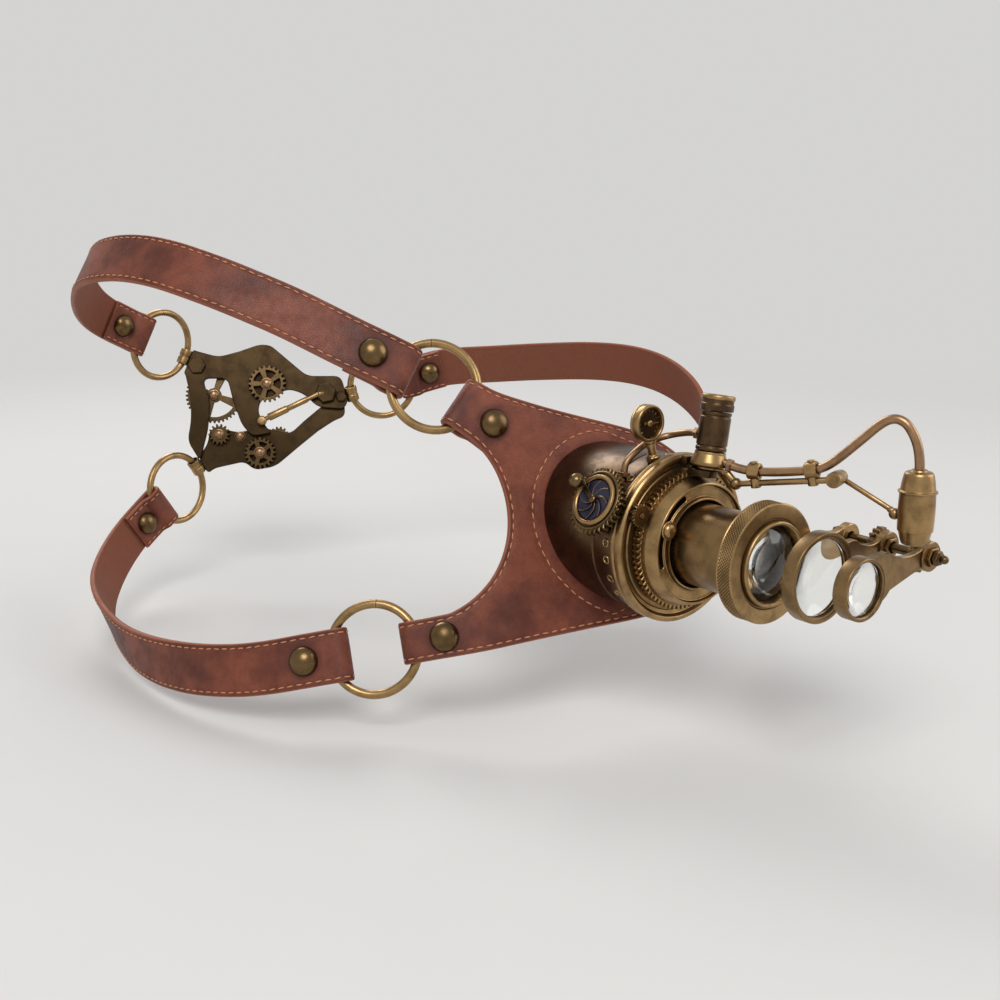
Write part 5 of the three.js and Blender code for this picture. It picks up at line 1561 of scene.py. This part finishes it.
# Pivot of the loupes, in the barrel's frame
PIVOT = Vector((32.6, 4))


class GOGGLE_OT_objective(bpy.types.Operator):
    """Knurled objective ring, bezel with the loupe bracket, and the front lens"""
    bl_idname = "goggle.objective"
    bl_label = "Objective"

    def execute(self, context):
        self.knurled(context.scene.goggle_metal.knurl_pitch)
        bezel = [(12, 73.3), (13.4, 73.3), (13.4, 79.9), (13, 80.4), (12.5, 80.4), (12, 79.8)]
        bracket = [(12.25, -1.5), (18, -3), (27, 0.5), (30, 0), (30, 8), (26, 6.6), (18, 8), (12.25, 5.5)]
        body = Piece(FORWARD).add(lathe(bezel, 112), plate([softened(bracket, 1.6, 4)], 79.5, 82.3, 0.3))
        body.add(plate([circle(4.4, 48, PIVOT), circle(1.8, 24, PIVOT)], 79.4, 82.5, 0.3))
        body.dress("objective_bezel", "turned", "focus_tube", "antique_brass", "brass")
        glass = lens(11.6, 75.6, 1, 77.2, 2.9, (12, 16))
        turned(glass, "objective_lens", "ground", "focus_tube", "lens_glass", "glass", fillet=0)
        return {"FINISHED"}

    def knurled(self, pitch):
        radius, low, high, depth = 18.75, 73.5, 78.7, 0.56
        fade, steps = 0.3, 4
        segments = round(TAU * radius / pitch) * steps
        rows = round((high - low) / pitch * steps)
        profile = [
            (13.7, 70), (14.9, 70), (15.1, 70.2), (15.1, 72.9), (15.3, 73.1), (18.2, 73.1), (18.55, 73.25)]
        profile += [(radius, low + (high - low) * k / rows) for k in range(rows + 1)]
        profile += [
            (18.55, 78.88), (18.3, 79), (18, 79.02), (14.4, 79.02), (14.2, 78.9), (14, 78.6), (13.7, 78.6)]
        rings = []
        cuts = []
        for r, height in profile:
            ring = []
            for k in range(segments):
                u, v = k / steps, (height - low) / pitch
                diamond = 1 - abs((u + v) % 1 - 0.5) - abs((u - v) % 1 - 0.5)
                ends = min(1, min(height - low, high - height) / fade)
                cut = depth * diamond * ends if low <= height <= high else 0.0
                cuts.append(cut)
                ring.append((*spun(r - cut, TAU * k / segments), height))
            rings.append(ring)
        ring = Piece(FORWARD).add(skin(rings, True))
        # Faces deep in the knurl take the darker rivet brass as painted shade in its grooves; the peaks keep
        # the brass
        ring.paints = [int(sum(cuts[i] for i in face) > 0.55 * depth * len(face)) for face in ring.faces]
        ring.dress("objective_ring", "knurled", "objective_ring", "antique_brass", "brass rivet", smooth=24)


class GOGGLE_OT_crank(bpy.types.Operator):
    """Crank wheel with its iris, link and ball handle"""
    bl_idname = "goggle.crank"
    bl_label = "Crank"

    blades = 8
    iris_radius = 6.5
    handle_radius = 7.7
    handle_turn = math.radians(150)

    def execute(self, context):
        place = crank_place()
        teeth = toothed(36, 11.2, 10.1, 0.5, math.radians(5))
        groove = [(8.9, 31.3), (9.9, 31.3), (9.9, 31.8), (9.5, 32), (9.2, 32), (8.9, 31.8)]
        bezel = [(6.9, 31), (8.6, 31), (8.6, 32.2), (8.2, 32.8), (7.6, 32.9), (7.2, 32.8), (6.9, 32.4)]
        wheel = Piece(place).add(plate([teeth, circle(1.9, 32)], 28.9, 31.5, 0.2))
        wheel.add(lathe(groove, 72, 0.12)).add(lathe(bezel, 72, 0.15), paint=1)
        wheel.dress("crank_wheel", "cut", "crank", "antique_brass", "rivet brass")
        iris = Piece(place).add(pin(6.6, 31.75, 31.95, 64, 0))
        for k in range(self.blades):
            edge = [self.blade_point(k, 0.96, r) for r in np.linspace(0.9, 6.45, 16)]
            iris.add(self.blade(k)).add(tube(edge, 0.11, 8), paint=1)
        iris.finish("iris_blades", "crank", "iris_enamel", "iris brass", "iris_disc", smooth=20)
        self.handle(place)
        return {"FINISHED"}

    def blade_point(self, k, t, r):
        """A point on a blade's face, t across its width and r from the middle."""
        inwards = 1 - r / self.iris_radius
        return *spun(r, TAU * (k + t) / self.blades + 1.1 * inwards), 32.0 + 0.45 * t - 0.08 * inwards

    def blade(self, k):
        """One blade: a wedge that sweeps in to the middle and rises across its width."""
        radii = np.linspace(0.7, self.iris_radius, 14)
        top = [[self.blade_point(k, t, r) for t in np.linspace(0, 0.99, 9)] for r in radii]
        verts, faces = skin([[(x, y, 31.9) for x, y, _ in row] for row in top], wrap=False)
        count = len(verts)
        rows = np.arange(count).reshape(len(radii), -1).tolist()
        border = rows[0] + [r[-1] for r in rows[1:]] + rows[-1][-2::-1] + [r[0] for r in rows[-2:0:-1]]
        faces += [[n + count for n in face] for face in faces]
        faces += strips([border, [n + count for n in border]])
        return verts + [p for row in top for p in row], faces

    def handle(self, place):
        at = spun(self.handle_radius, self.handle_turn)
        grip = [
            (0, 32.7), (1.5, 32.7), (1.5, 33.1), (1, 33.3), (0.95, 34),
            *dome(2.5, 36.1, 2.4, (-62, 84), 13), (0, 38.5)]
        link = [(-0.9, -0.7), (self.handle_radius, -0.85), (self.handle_radius, 0.85), (-0.9, 0.7)]
        boss = [(0, 32.5), (1.3, 32.5), (1.3, 33.3), (0.9, 33.6), (0, 33.7)]
        handle = Piece(place).add(lathe(grip, 32, 0.1), place=shifted(place, *at))
        bar = plate([softened(link, 0.5, 3)], 32.75, 33.15, 0.1)
        handle.add(bar, place=place @ Matrix.Rotation(self.handle_turn, 4, "Z")).add(lathe(boss, 28, 0.1))
        handle.dress("crank_handle", "turned", "crank", "antique_brass", "rivet")


# Gauge, canister and lamp
def ticks(count, inner, outer, width, low, high, degrees):
    """Small radial bars between two radii."""
    for turn in np.radians(np.linspace(*degrees, count)):
        out = spun(1, turn)
        side = Vector((-out.y, out.x)) * width / 2
        bar = [out * inner - side, out * outer - side, out * outer + side, out * inner + side]
        yield plate([bar], low, high, 0.04)


def canister_place():
    return joint_frame("lamp_arm_swing")


class GOGGLE_OT_gauge(bpy.types.Operator):
    """Pressure gauge on its stem, and the pipe to the canister"""
    bl_idname = "goggle.gauge"
    bl_label = "Gauge"

    angle = 106.0

    def execute(self, context):
        at = joint_at("gauge_needle_turn")
        place = Matrix.Translation(at) @ FORWARD
        case = [
            (0, -2.2), (4.6, -2.2), (5.2, -2), (5.9, -1.4), (6, -1), (5.75, -0.8), (5.75, -0.3), (6, -0.1),
            (6, 1.7), (5.7, 2.2), (5.1, 2.2), (4.9, 1.9), (4.9, 0.85), (0, 0.85)]
        foot = polar(26.4, self.angle, -at.y)
        out = polar(1, self.angle, 0)
        stem = axes(foot, out, (0, -1, 0))
        gauge = Piece(stem).add(lathe(case, 64, 0.12), place=place)
        gauge.add(rod(foot, foot + out * 8.8, 1.4), place=Matrix()).add(hexagon(2.3, 0.3, 2.2, 0.2))
        gauge.add(lathe([(0, 2), (1.9, 2), (1.9, 2.6), (1.5, 2.9), (0, 2.9)], 28, 0.1))
        gauge.add(lathe([(0, 6.6), (1.8, 6.6), (2, 7.2), (1.8, 8.2), (0, 8.2)], 28, 0.1))
        gauge.dress("gauge_case", "turned", "headgear", "antique_brass", "brass")
        dial = Piece(place).add(pin(4.85, 0.8, 0.95, 48, 0))
        dial.finish("gauge_dial", "headgear", "dark_bronze", "bronze")
        scale = Piece(place).add(*ticks(13, 3.7, 4.6, 0.28, 0.9, 1.06, (-45, 225)))
        scale.finish("gauge_scale", "headgear", "antique_brass", "brass")
        needle = [(-2.4, -0.35), (0.2, -0.5), (3.9, -0.06), (3.9, 0.06), (0.2, 0.5), (-2.4, 0.35)]
        pointer = Piece(place).add(plate([softened(needle, 0.15)], 1.2, 1.55, 0.05))
        pointer.add(lathe([(0, 1.15), (1, 1.15), (1, 1.7), (0.6, 2), (0, 2.05)], 28, 0.08))
        pointer.finish("gauge_pointer", "needle", "antique_brass", "brass", "gauge_needle")
        self.pipe()
        return {"FINISHED"}

    def pipe(self):
        side = canister_place() @ Vector((-0.4, 5.3, 13))
        points = [
            polar(27.4, 128, 30.6), polar(29.9, 122, 30.6), polar(31.1, 112, 30.8), polar(31.9, 101, 31),
            polar(33.1, 90, 33.6), side + Vector((-0.2, 5, -0.4)), side]
        path = [Vector(row) for row in curve_through(points, 10)]
        foot = path[0] - (path[3] - path[0]).normalized() * 0.7
        pipe = Piece().add(tube(path, 1.1), nut(foot, path[6], 2.1, 1.6), nut(path[-1], path[-8], 2, 1.7))
        pipe.dress("pressure_pipe", "bent", "headgear", "copper", "copper")


class GOGGLE_OT_canister(bpy.types.Operator):
    """Canister on its post, with a turning cap"""
    bl_idname = "goggle.canister"
    bl_label = "Canister"

    def execute(self, context):
        place = canister_place()
        base = [(-3.2, 6.1), (-3.2, 0), (-2.2, -2.6), (2.2, -2.6), (3.2, 0), (3.2, 6.1)]
        shelf = [(-3.15, 4), (3.15, 4), (3.35, 8.8), (-3.35, 8.8)]
        heel = [(-3.35, 6.5), (3.35, 6.5), (3.4, 8.8), (-3.4, 8.8)]
        post = Piece(place).add(plate([softened(base, 0.8, 3)], -0.2, 2.05, 0.2))
        post.add(plate([shelf], 1.65, 2.8, 0.15), plate([heel], 1.6, 5.4, 0.2), pin(1.5, 0.2, 12.3))
        post.dress("canister_post", "cut", "headgear", "dark_bronze", "bronze")
        body = [
            (1.8, 8.3), (4.7, 8.3), (4.9, 8.5), (4.9, 9.4), (4.65, 9.6), (4.65, 10), (4.9, 10.2), (4.9, 18.9),
            (4.65, 19.1), (4.65, 19.5), (4.9, 19.7), (4.9, 20.6), (1.2, 20.6), (1.2, 12.6), (1.8, 12.6)]
        turned(body, "canister_body", "turned", "headgear", "dark_bronze", "bronze",
               place=place, segments=64, fillet=0.12)
        self.cap(place)
        return {"FINISHED"}

    def cap(self, place):
        shell = [
            (0, 20.9), (5, 20.9), (5.3, 21.1), (5.3, 23), (5.05, 23.2), (5.05, 24.7), (4.4, 25.2), (0, 25.2)]
        rim = [(4, 25), (4.9, 24.4), (5.3, 24.5), (5.4, 25), (5.3, 25.7), (4.9, 26), (4.3, 26), (4, 25.6)]
        boss = [(0, 25.1), (0.9, 25.1), (0.9, 25.7), (0.5, 26), (0, 26.05)]
        bars = ticks(9, 1.4, 3.4, 0.6, 25.1, 25.7, (0, 320))
        cap = Piece(place).add(lathe(shell, 64, 0.15))
        cap.add(lathe(rim, 64, 0.15), *bars, lathe(boss, 24, 0.1), paint=1)
        cap.dress("canister_cap", "turned", "cap", "copper", "bronze brass")


# The lamp arm runs from the canister along its heading
HEADING = Vector((0.3365, -0.9417, 0))
ARM_SIDE = Vector((-HEADING.y, HEADING.x, 0))
LAMP_REACH = 64.8


def arm_point(reach, height, side=0.0):
    """Point beside the canister, along the lamp arm."""
    return Vector((0.9, -50.5, height)) + HEADING * reach + ARM_SIDE * side


class GOGGLE_OT_lamp(bpy.types.Operator):
    """Lamp on its feed pipe and brace"""
    bl_idname = "goggle.lamp"
    bl_label = "Lamp arm"

    def execute(self, context):
        place = canister_place()
        foot = [(1.8, 3.4), (5.5, 3.4), (5.9, 3.8), (5.8, 4.7), (4.9, 7.3), (4.9, 8), (1.8, 8)]
        turned(foot, "canister_foot", "turned", "lamp_arm", "antique_brass", "brass",
               place=place, segments=64, fillet=0.15)
        pivot = arm_point(40.8, 26)
        self.brace(place, self.pipe(), pivot)
        self.link(pivot)
        self.lamp()
        return {"FINISHED"}

    def pipe(self):
        near = [(5, 27.2), (10, 25.9), (17, 25.6), (29.7, 27.2), (35.8, 28.7), (39.6, 31)]
        bow = [
            (17.5, 38.2), (12.6, 43), (10, 44.9), (7.5, 45.5), (5, 44.6), (2.9, 42.2), (1.1, 38.4), (0.2, 34),
            (0, 30.4)]
        points = [arm_point(*p) for p in near] + [arm_point(LAMP_REACH - back, rise) for back, rise in bow]
        path = [Vector(row) for row in resampled(curve_through(points, 12), 0.7)[0]]
        pipe = Piece().add(tube(path, 1.4, 24), nut(path[2], path[9], 2.1, 1.6))
        pipe.dress("feed_pipe", "bent", "lamp_arm", "copper", "copper")
        return path

    def brace(self, place, path, pivot):
        rear, knee, end = arm_point(6, 24.2), arm_point(9.4, 20.9), arm_point(38.4, 25.4)
        heading = place @ Matrix.Rotation(math.atan2(HEADING.y, HEADING.x), 4, "Z")
        tongue = [(2.6, -1.6), (7, -1.4), (7, 1.4), (2.6, 1.6)]
        brace = Piece().add(washer(3.4, 1.8, 2.35, 3.1, 0.12), place=place)
        brace.add(plate([softened(tongue, 0.4)], 2.4, 3.05, 0.1), place=heading)
        brace.add(rod(rear, knee, 1.2), ball(knee, 1.9), rod(knee, end, 1), rod(end, pivot, 1.3))
        brace.add(rod(pivot - ARM_SIDE * 2.6, pivot + ARM_SIDE * 2.6, 2.4, 36, 0.3))
        brace.add(rod(pivot - ARM_SIDE * 2.9, pivot - ARM_SIDE * 2.4, 1.3, 24, 0.1))
        for share in (0.14, 0.375):
            index = round(share * (len(path) - 1))
            at = path[index]
            along = path[index + 1] - path[index - 1]
            brace.add(washer(2.6, 1.6, -1.9, 1.9, 0.2, (32, 32)), place=axes(at, along, (0, 0, 1)))
            below = knee.lerp(end, (at - knee).dot(end - knee) / (end - knee).length_squared)
            down = (below - at).normalized()
            brace.add(rod(at + down * 1.9, below, 0.9))
            brace.add(rod(below - down * 1.5, below + down * 1.5, 1.6, 24, 0.3))
            brace.add(rod(at - down * 2.4, at - down * 3.1, 1.2, 20, 0.2))
        brace.dress("brace_rod", "made", "lamp_arm", "antique_brass", "brass")

    def link(self, pivot):
        end = arm_point(LAMP_REACH - 8.1, 18.8, 1.6)
        joint = arm_point(LAMP_REACH - 6.4, 17.6, 1)
        link = Piece().add(rod(pivot + ARM_SIDE * 2.9, pivot + ARM_SIDE * 4.9, 2.2, 36, 0.3))
        link.add(rod(pivot + ARM_SIDE * 4.8, pivot + ARM_SIDE * 5.3, 1.2, 24, 0.15))
        link.add(rod(pivot + ARM_SIDE * 3.9, end, 0.8), rod(end, joint, 1), ball(joint, 1.7))
        link.dress("brace_link", "made", "lamp_arm", "antique_brass", "brass")

    def lamp(self):
        at = Matrix.Translation(arm_point(LAMP_REACH, 0))
        bulge = [(5.05 + 0.15 * math.sin(math.pi * k / 10), 14.0 + 1.08 * k) for k in range(11)]
        body = [
            (0, 11.6), (2.9, 11.6), (2.9, 9.9), (3.2, 9.6), (3.6, 9.75), (4.15, 11.2), (4.7, 13.5),
            (4.95, 13.6), *bulge, (5.4, 24.9), (5.55, 25), (5.55, 25.4), (5.4, 25.5), (4.95, 25.7),
            (4.6, 28.4), (4.15, 30.3), (3.85, 30.8), (3.4, 31), (2.4, 31.1), (2.2, 31.6), (0, 31.6)]
        turned(body, "lamp_body", "turned", "lamp_arm", "antique_brass", "brass",
               place=at, segments=72, fillet=0.12)
        glass = [(0, 9.5), *dome(2.85, 10.4, -0.9, (88, 0), 10), (2.85, 11.5), (0, 11.5)]
        turned(glass, "lamp_glass", "blown", "lamp_arm", "lens_glass", "glass",
               place=at, segments=64, fillet=0)


class GOGGLE_OT_loupes(bpy.types.Operator):
    """Two swing loupes on a rod with nuts and a ball end"""
    bl_idname = "goggle.loupes"
    bl_label = "Loupes"

    hub = shifted(FORWARD, *PIVOT)
    depth = 4.6
    bore = 1.8

    def execute(self, context):
        collar = [(0, 114.1), (1.8, 114.1), (1.8, 114.5), (0.9, 114.7), (0.9, 115.2), (0, 115.2)]
        rods = Piece(self.hub).add(pin(1.5, 76.6, 113.8, 28, 0.2), hexagon(2.8, 76.4, 79.1, 0.25))
        rods.add(hexagon(2.4, 112.7, 114.2, 0.25), lathe(collar, 24, 0.1), ball((0, 0, 115.5), 1.3))
        rods.dress("loupe_rod", "turned", "focus_tube", "steel", "rivet")
        self.loupe("loupe_mid", 13.6, 1.9, 93.7)
        self.loupe("loupe_front", 9.25, 1.25, 108.2)
        return {"FINISHED"}

    def loupe(self, name, radius, wall, back):
        inner = radius - wall
        front = back + self.depth
        lip = inner + wall * 0.35
        rim = [
            (inner, back), (radius - 0.2, back), (radius, back + 0.2), (radius, front - 0.25),
            (radius - 0.25, front), (lip, front), (lip, front - 0.35), (inner + 0.1, front - 0.45),
            (inner, front - 0.6)]
        hole = circle(self.bore, 24)
        arm = plate([self.arm(radius, inner)], back + 0.1, back + 2.4, 0.25)
        body = Piece(self.hub).add(lathe(rim, 112, 0.1), arm, place=FORWARD)
        body.add(plate([circle(4.6), hole], back - 0.2, back + 3.2, 0.3))
        body.add(plate([circle(3.1, 6), hole], back + 3.1, back + 4.3, 0.2))
        body.add(plate([toothed(16, 5.6, 4.7, 0.5, 0, 0.15), hole], back - 2, back - 0.15, 0.2))
        body.dress(name + "_frame", "cut", name, "antique_brass", "tube")
        middle = (back + front) / 2
        glass = lens(inner - 0.15, middle - 0.6, 0.9, middle + 0.6, 0.9, (10, 10))
        turned(glass, name + "_glass", "ground", name, "lens_glass", "glass", segments=80, fillet=0)

    def arm(self, radius, inner):
        """Shouldered arm from the rim to the pivot."""
        px, py = PIVOT
        waist = (radius + px) / 2 + 2
        grip = (inner + radius) / 2
        low = math.asin(-7.4 / grip)
        high = math.asin(8 / grip)
        bows = (
            ((grip * math.cos(low) + 1, -7.8), (radius + 2.6, -6.4), (radius + 5, -3.2)),
            ((radius + 5, -3.2), (waist, -0.6), (px - 3.4, py - 3)),
            ((px - 3.4, py + 3), (waist, 4.4), (radius + 5, 7.2)),
            ((radius + 5, 7.2), (radius + 3.6, 9), (radius + 1, 8.6)),
        )
        outline = arc(grip, high, low, 12)
        for start, control, end in (map(Vector, bow) for bow in bows):
            for t in np.linspace(0, 1, 8):
                outline.append(start * (1 - t) ** 2 + control * 2 * t * (1 - t) + end * t * t)
        clean = outline[:1]
        for p in outline[1:]:
            if (p - clean[-1]).length > 0.05:
                clean.append(p)
        return clean


# Clockwork plates at the back
def back_place():
    z = joint_axis("gear_large_spin")
    up = square_to(z, Vector((0, 0, 1)))
    right = up.cross(z)
    return axes(joint_at("gear_large_spin") - right * 10.8 - up * 9.6, z, right)


def cut_off(outline, at, away, keep):
    """Outline without what lies nearer to a line than a distance; away points to the kept side."""
    reach = 14
    result = []
    for a, b in zip(outline, outline[1:] + outline[:1]):
        a, b = Vector(a), Vector(b)
        da, db = (a - at).dot(away) - keep, (b - at).dot(away) - keep
        near = min((a - at).length, (b - at).length) < reach
        if da >= 0 or not near:
            result.append(a)
        if near and (da < 0) != (db < 0):
            result.append(a.lerp(b, da / (da - db)))
    return result


class GOGGLE_OT_back(bpy.types.Operator):
    """Clockwork plates, gears, clips and strut between the back rings"""
    bl_idname = "goggle.back"
    bl_label = "Back plates"

    upper = [
        (-28, -26), (-20.4, -24.5), (-18.4, -17), (-16.8, -10.3), (-16.1, 2.3), (-19.2, 12.8), (-7.7, 12.7),
        (-5.5, 3.1), (-1.4, -9.3), (3.4, -15), (12.4, -13.3), (10.1, -10.7), (6.1, -3.5), (7.5, 2.5), (14, 4),
        (20, 7.5), (27.6, 5.1), (34, -1.5), (46, -2.5), (51, 5), (47.5, 13.2), (29.2, 13.4), (12.5, 28.2),
        (7.4, 28.7), (-2, 25.5), (-11.7, 22.9), (-21.4, 25.7), (-26, 27.5), (-31, 22), (-27, 14.3),
        (-24.6, 3.4), (-24.7, -7.5)]
    lower = [
        (-25.5, -28.5), (-22.3, -24), (-17.6, -18.5), (-16.4, -11.4), (-12, -9.6), (-7.8, -11.6), (-3, -12.6),
        (8, -10.5), (20.8, -13.8), (27.4, -7.7), (36, -0.6), (41, 1.6), (46.6, 1.2), (46.6, -5.6),
        (41.5, -7.6), (34, -12.4), (25.6, -19.1), (13.6, -29), (4, -30.5), (-0.7, -26.4), (-14.4, -29.3),
        (-20, -33.5)]
    straps = {"upper": (-0.854, -0.27, 0.444), "lower": (-0.79, -0.31, -0.53), "far": (0.879, -0.413, 0.237)}
    # Middle, tip radius, teeth, height, windows and screw of each gear
    gears = {
        "gear_large": ((10.8, 9.6), 8.8, 22, 2.3, 5, (0.5, 4.6)),
        "gear_lower": ((6.9, -22.6), 7.4, 20, 0, 5, (-1.8, 2.3)),
        "gear_small": ((-11.8, -13.8), 5, 14, 0, 0, (-1.8, 2.3)),
    }
    wheel = (-14.2, 5.1)

    def execute(self, context):
        place = back_place()
        clips = {name: self.clip(name, place) for name in self.straps}
        upper = self.upper
        for name, keep in (("upper", 2.6), ("far", 2.6), ("lower", 2.8)):
            upper = cut_off(upper, *clips[name], keep)
        lower = cut_off(self.lower, *clips["lower"], 2.8)
        for node, outline, low in (("back_plate_upper", upper, 0), ("back_plate_lower", lower, -2.3)):
            slab = plate([softened(outline, 3.5, 6)], low, low + 2, 0.3)
            # Plate finish: dark bronze with painted shade in its colour
            Piece(place).add(slab).dress(node, "cut", "headgear", "dark_bronze", "plate")
        self.wheels(place)
        self.screws(place)
        self.strut(place)
        return {"FINISHED"}

    def clip(self, name, place):
        """Brass sleeve round a back ring; returns its place and the kept side in the plates' plane."""
        ring = f"ring_{name}_back_turn"
        n = joint_axis(ring)
        t = square_to(n, Vector(self.straps[name]))
        at = joint_at(ring) - t * RING_RADIUS
        sleeve = [
            (2.3, -3.5), (2.8, -3.5), (3, -3.2), (3, -0.5), (2.75, -0.3), (2.75, 0.3), (3, 0.5), (3, 3.2),
            (2.8, 3.5), (2.3, 3.5)]
        clip = Piece(axes(at, n.cross(t), t)).add(lathe(sleeve, 48, 0.12))
        clip.finish(f"back_clip_{name}", "headgear", "antique_brass", "brass")
        inverse = place.inverted()
        along = (inverse.to_3x3() @ n.cross(t)).xy.normalized()
        here = (inverse @ at).xy
        away = Vector((-along.y, along.x))
        return here, away if away.dot(here - (inverse @ joint_at(ring)).xy) >= 0 else -away

    def wheels(self, place):
        # The back gears' clock finish has painted shade in its colour
        for name, (middle, tip, teeth, low, windows, _) in self.gears.items():
            outlines = [toothed(teeth, tip, tip - 1.3, 0.5, 0, 0.15), circle(1.8, 32)]
            outlines += [self.window(tip - 2.5, 3.1, TAU * k / windows, math.pi / windows - 0.22)
                         for k in range(windows)]
            gear = Piece(shifted(place, *middle)).add(plate(outlines, low, low + 2, 0.2))
            gear.dress(name, "cut", name, "antique_brass", "clock")
        outlines = [toothed(40, 13.2, 12.1, 0.5, 0, 0.15), circle(1.2, 24)]
        outlines += [self.window(10.4, 3.4, TAU * k / 4 + 0.4, math.pi / 4 - 0.2) for k in range(4)]
        train = Piece(shifted(place, *self.wheel)).add(plate(outlines, -1.9, -0.1, 0.2))
        small = [toothed(14, 4.8, 3.8, 0.5, 0, 0.15), circle(1.2, 24)]
        train.add(plate(small, -4.2, -2.4, 0.2), place=shifted(place, 15.4, -14.6))
        train.finish("back_train", "headgear", "antique_brass", "clock")

    def window(self, outer, inner, turn, half):
        narrow = half * 0.7
        outline = arc(outer, turn - half, turn + half, 12) + arc(inner, turn + narrow, turn - narrow, 8)
        return softened(outline, 0.4, 3)

    def screws(self, place):
        out = place.to_3x3() @ Vector((0, 0, 1))
        shank = Piece()
        seats = []
        for middle, *_, (low, high) in self.gears.values():
            shank.add(pin(1.5, low, high + 0.1), place=shifted(place, *middle))
            seats.append((place @ Vector((*middle, high)), out))
        stud = [(0, -2.3), (2.2, -2.3), (2.2, -1), (1.5, -0.8), (1.5, 0.5), (0, 0.5)]
        shank.add(lathe(stud, 24), place=shifted(place, *self.wheel))
        shank.finish("back_studs", "headgear", "dark_bronze", "bronze")
        seats += [(place @ Vector(at), out) for at in ((*self.wheel, 0.4), (-2.4, -14.5, -0.35))]
        head = lathe([(0, 0), (2.4, 0), (2.4, 0.3), *dome(2.2, 0.35, 1.45, (0, 80), 7), (0, 1.8)], 32, 0)
        studded("back_screws", head, seats, "copper", "headgear", "copper")

    def strut(self, place):
        start, end = Vector((8.2, -7.9, 4.1)), Vector((34.6, 4.3, 4.1))
        boss = [(0, 2.3), (2.2, 2.3), (2.2, 5.2), (1.6, 5.7), (0, 5.7)]
        knee, neck, heel = (start.lerp(end, share) for share in (0.12, 0.45, 0.8))
        strut = Piece(place).add(rod(start, end, 1.1))
        strut.add(rod(knee, neck, 1.8, 28, 0.25), rod(neck, heel, 1.4, 28, 0.2))
        strut.add(lathe(boss, 32), place=shifted(place, *start.xy))
        bolt = shifted(place, 38, 5) @ Matrix.Rotation(math.radians(12), 4, "Z")
        strut.add(hexagon(5, 2.1, 4.5, 0.35), place=bolt, paint=1)
        for x, y, radius in ((-21.6, 18.8, 4.2), (45.2, 3.2, 2.6)):
            strut.add(hexagon(radius, 1.9, 3.2, 0.3), place=shifted(place, x, y), paint=1)
        strut.add(rod(end, (37, 4.8, 3.6), 1.1))
        strut.dress("strut", "made", "headgear", "antique_brass", "brass plate")


class GOGGLE_OT_stage(bpy.types.Operator):
    """Camera, pale floor and soft studio light"""
    bl_idname = "goggle.stage"
    bl_label = "Stage"

    # Place from the object's middle and size, in metres, and power of each lamp
    lamps = {
        "key": ((-0.75, -0.85, 1.15), 0.9, 13.5),
        "fill": ((0.95, -0.75, 0.55), 1, 5.5),
        "rim": ((0.25, 1.15, 0.9), 0.8, 8),
    }

    def execute(self, context):
        scene = context.scene
        settings = scene.goggle_stage
        view = bpy.data.cameras.new("camera")
        view.lens = settings.lens
        view.sensor_width = 36
        view.clip_start = 0.01
        scene.camera = self.aimed("camera", view, settings.camera_at, settings.camera_heading)
        self.floor(scene)
        centre = (CAD_BOX[0] + CAD_BOX[1]) / 2
        for name, (place, width, power) in self.lamps.items():
            lamp = bpy.data.lights.new(name, "AREA")
            lamp.shape = "DISK"
            lamp.size = width
            lamp.energy = power
            self.aimed(name, lamp, centre + Vector(place), -Vector(place))
        scene.world = bpy.data.worlds.new("studio")
        light_sky(scene.world, (0.87, 0.87, 0.88), 0.5, settings.backdrop)
        scene.view_settings.view_transform = "Standard"
        return {"FINISHED"}

    def aimed(self, name, data, place, heading):
        item = bpy.data.objects.new(name, data)
        item.location = place
        item.rotation_euler = Vector(heading).to_track_quat("-Z", "Y").to_euler()
        bpy.context.scene.collection.objects.link(item)
        return item

    def floor(self, scene):
        level = CAD_BOX[0].z - 0.004
        rim = circle(6, 96)
        mesh = bpy.data.meshes.new("floor")
        mesh.from_pydata([(*p, level) for p in rim], [], [list(range(len(rim)))])
        mesh.materials.append(finish_of("floor"))
        item = bpy.data.objects.new("floor", mesh)
        scene.collection.objects.link(item)


class GOGGLE_PT_panel(bpy.types.Panel):
    """Buttons for every step of the goggle"""
    bl_idname = "GOGGLE_PT_panel"
    bl_label = "Single-lens goggle"
    bl_space_type = "VIEW_3D"
    bl_region_type = "UI"
    bl_category = "Goggle"

    def draw(self, context):
        for step in STEPS:
            self.layout.operator(step.bl_idname)


STEPS = (
    GOGGLE_OT_stage,
    GOGGLE_OT_straps,
    GOGGLE_OT_patch,
    GOGGLE_OT_pad,
    GOGGLE_OT_rings,
    GOGGLE_OT_barrel,
    GOGGLE_OT_focus,
    GOGGLE_OT_objective,
    GOGGLE_OT_crank,
    GOGGLE_OT_gauge,
    GOGGLE_OT_canister,
    GOGGLE_OT_lamp,
    GOGGLE_OT_loupes,
    GOGGLE_OT_back,
)
SETTINGS = {
    "goggle_leather": LeatherSettings,
    "goggle_metal": MetalSettings,
    "goggle_stage": StageSettings,
}


def register():
    for group in (*SETTINGS.values(), *STEPS, GOGGLE_PT_panel):
        bpy.utils.register_class(group)
    for name, group in SETTINGS.items():
        setattr(bpy.types.Scene, name, bpy.props.PointerProperty(type=group))


def unregister():
    for name in SETTINGS:
        delattr(bpy.types.Scene, name)
    for group in (GOGGLE_PT_panel, *reversed(STEPS), *SETTINGS.values()):
        bpy.utils.unregister_class(group)


def main():
    register()
    for step in STEPS:
        family, action = step.bl_idname.split(".")
        getattr(getattr(bpy.ops, family), action)()
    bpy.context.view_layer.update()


if __name__ == "__main__":
    main()
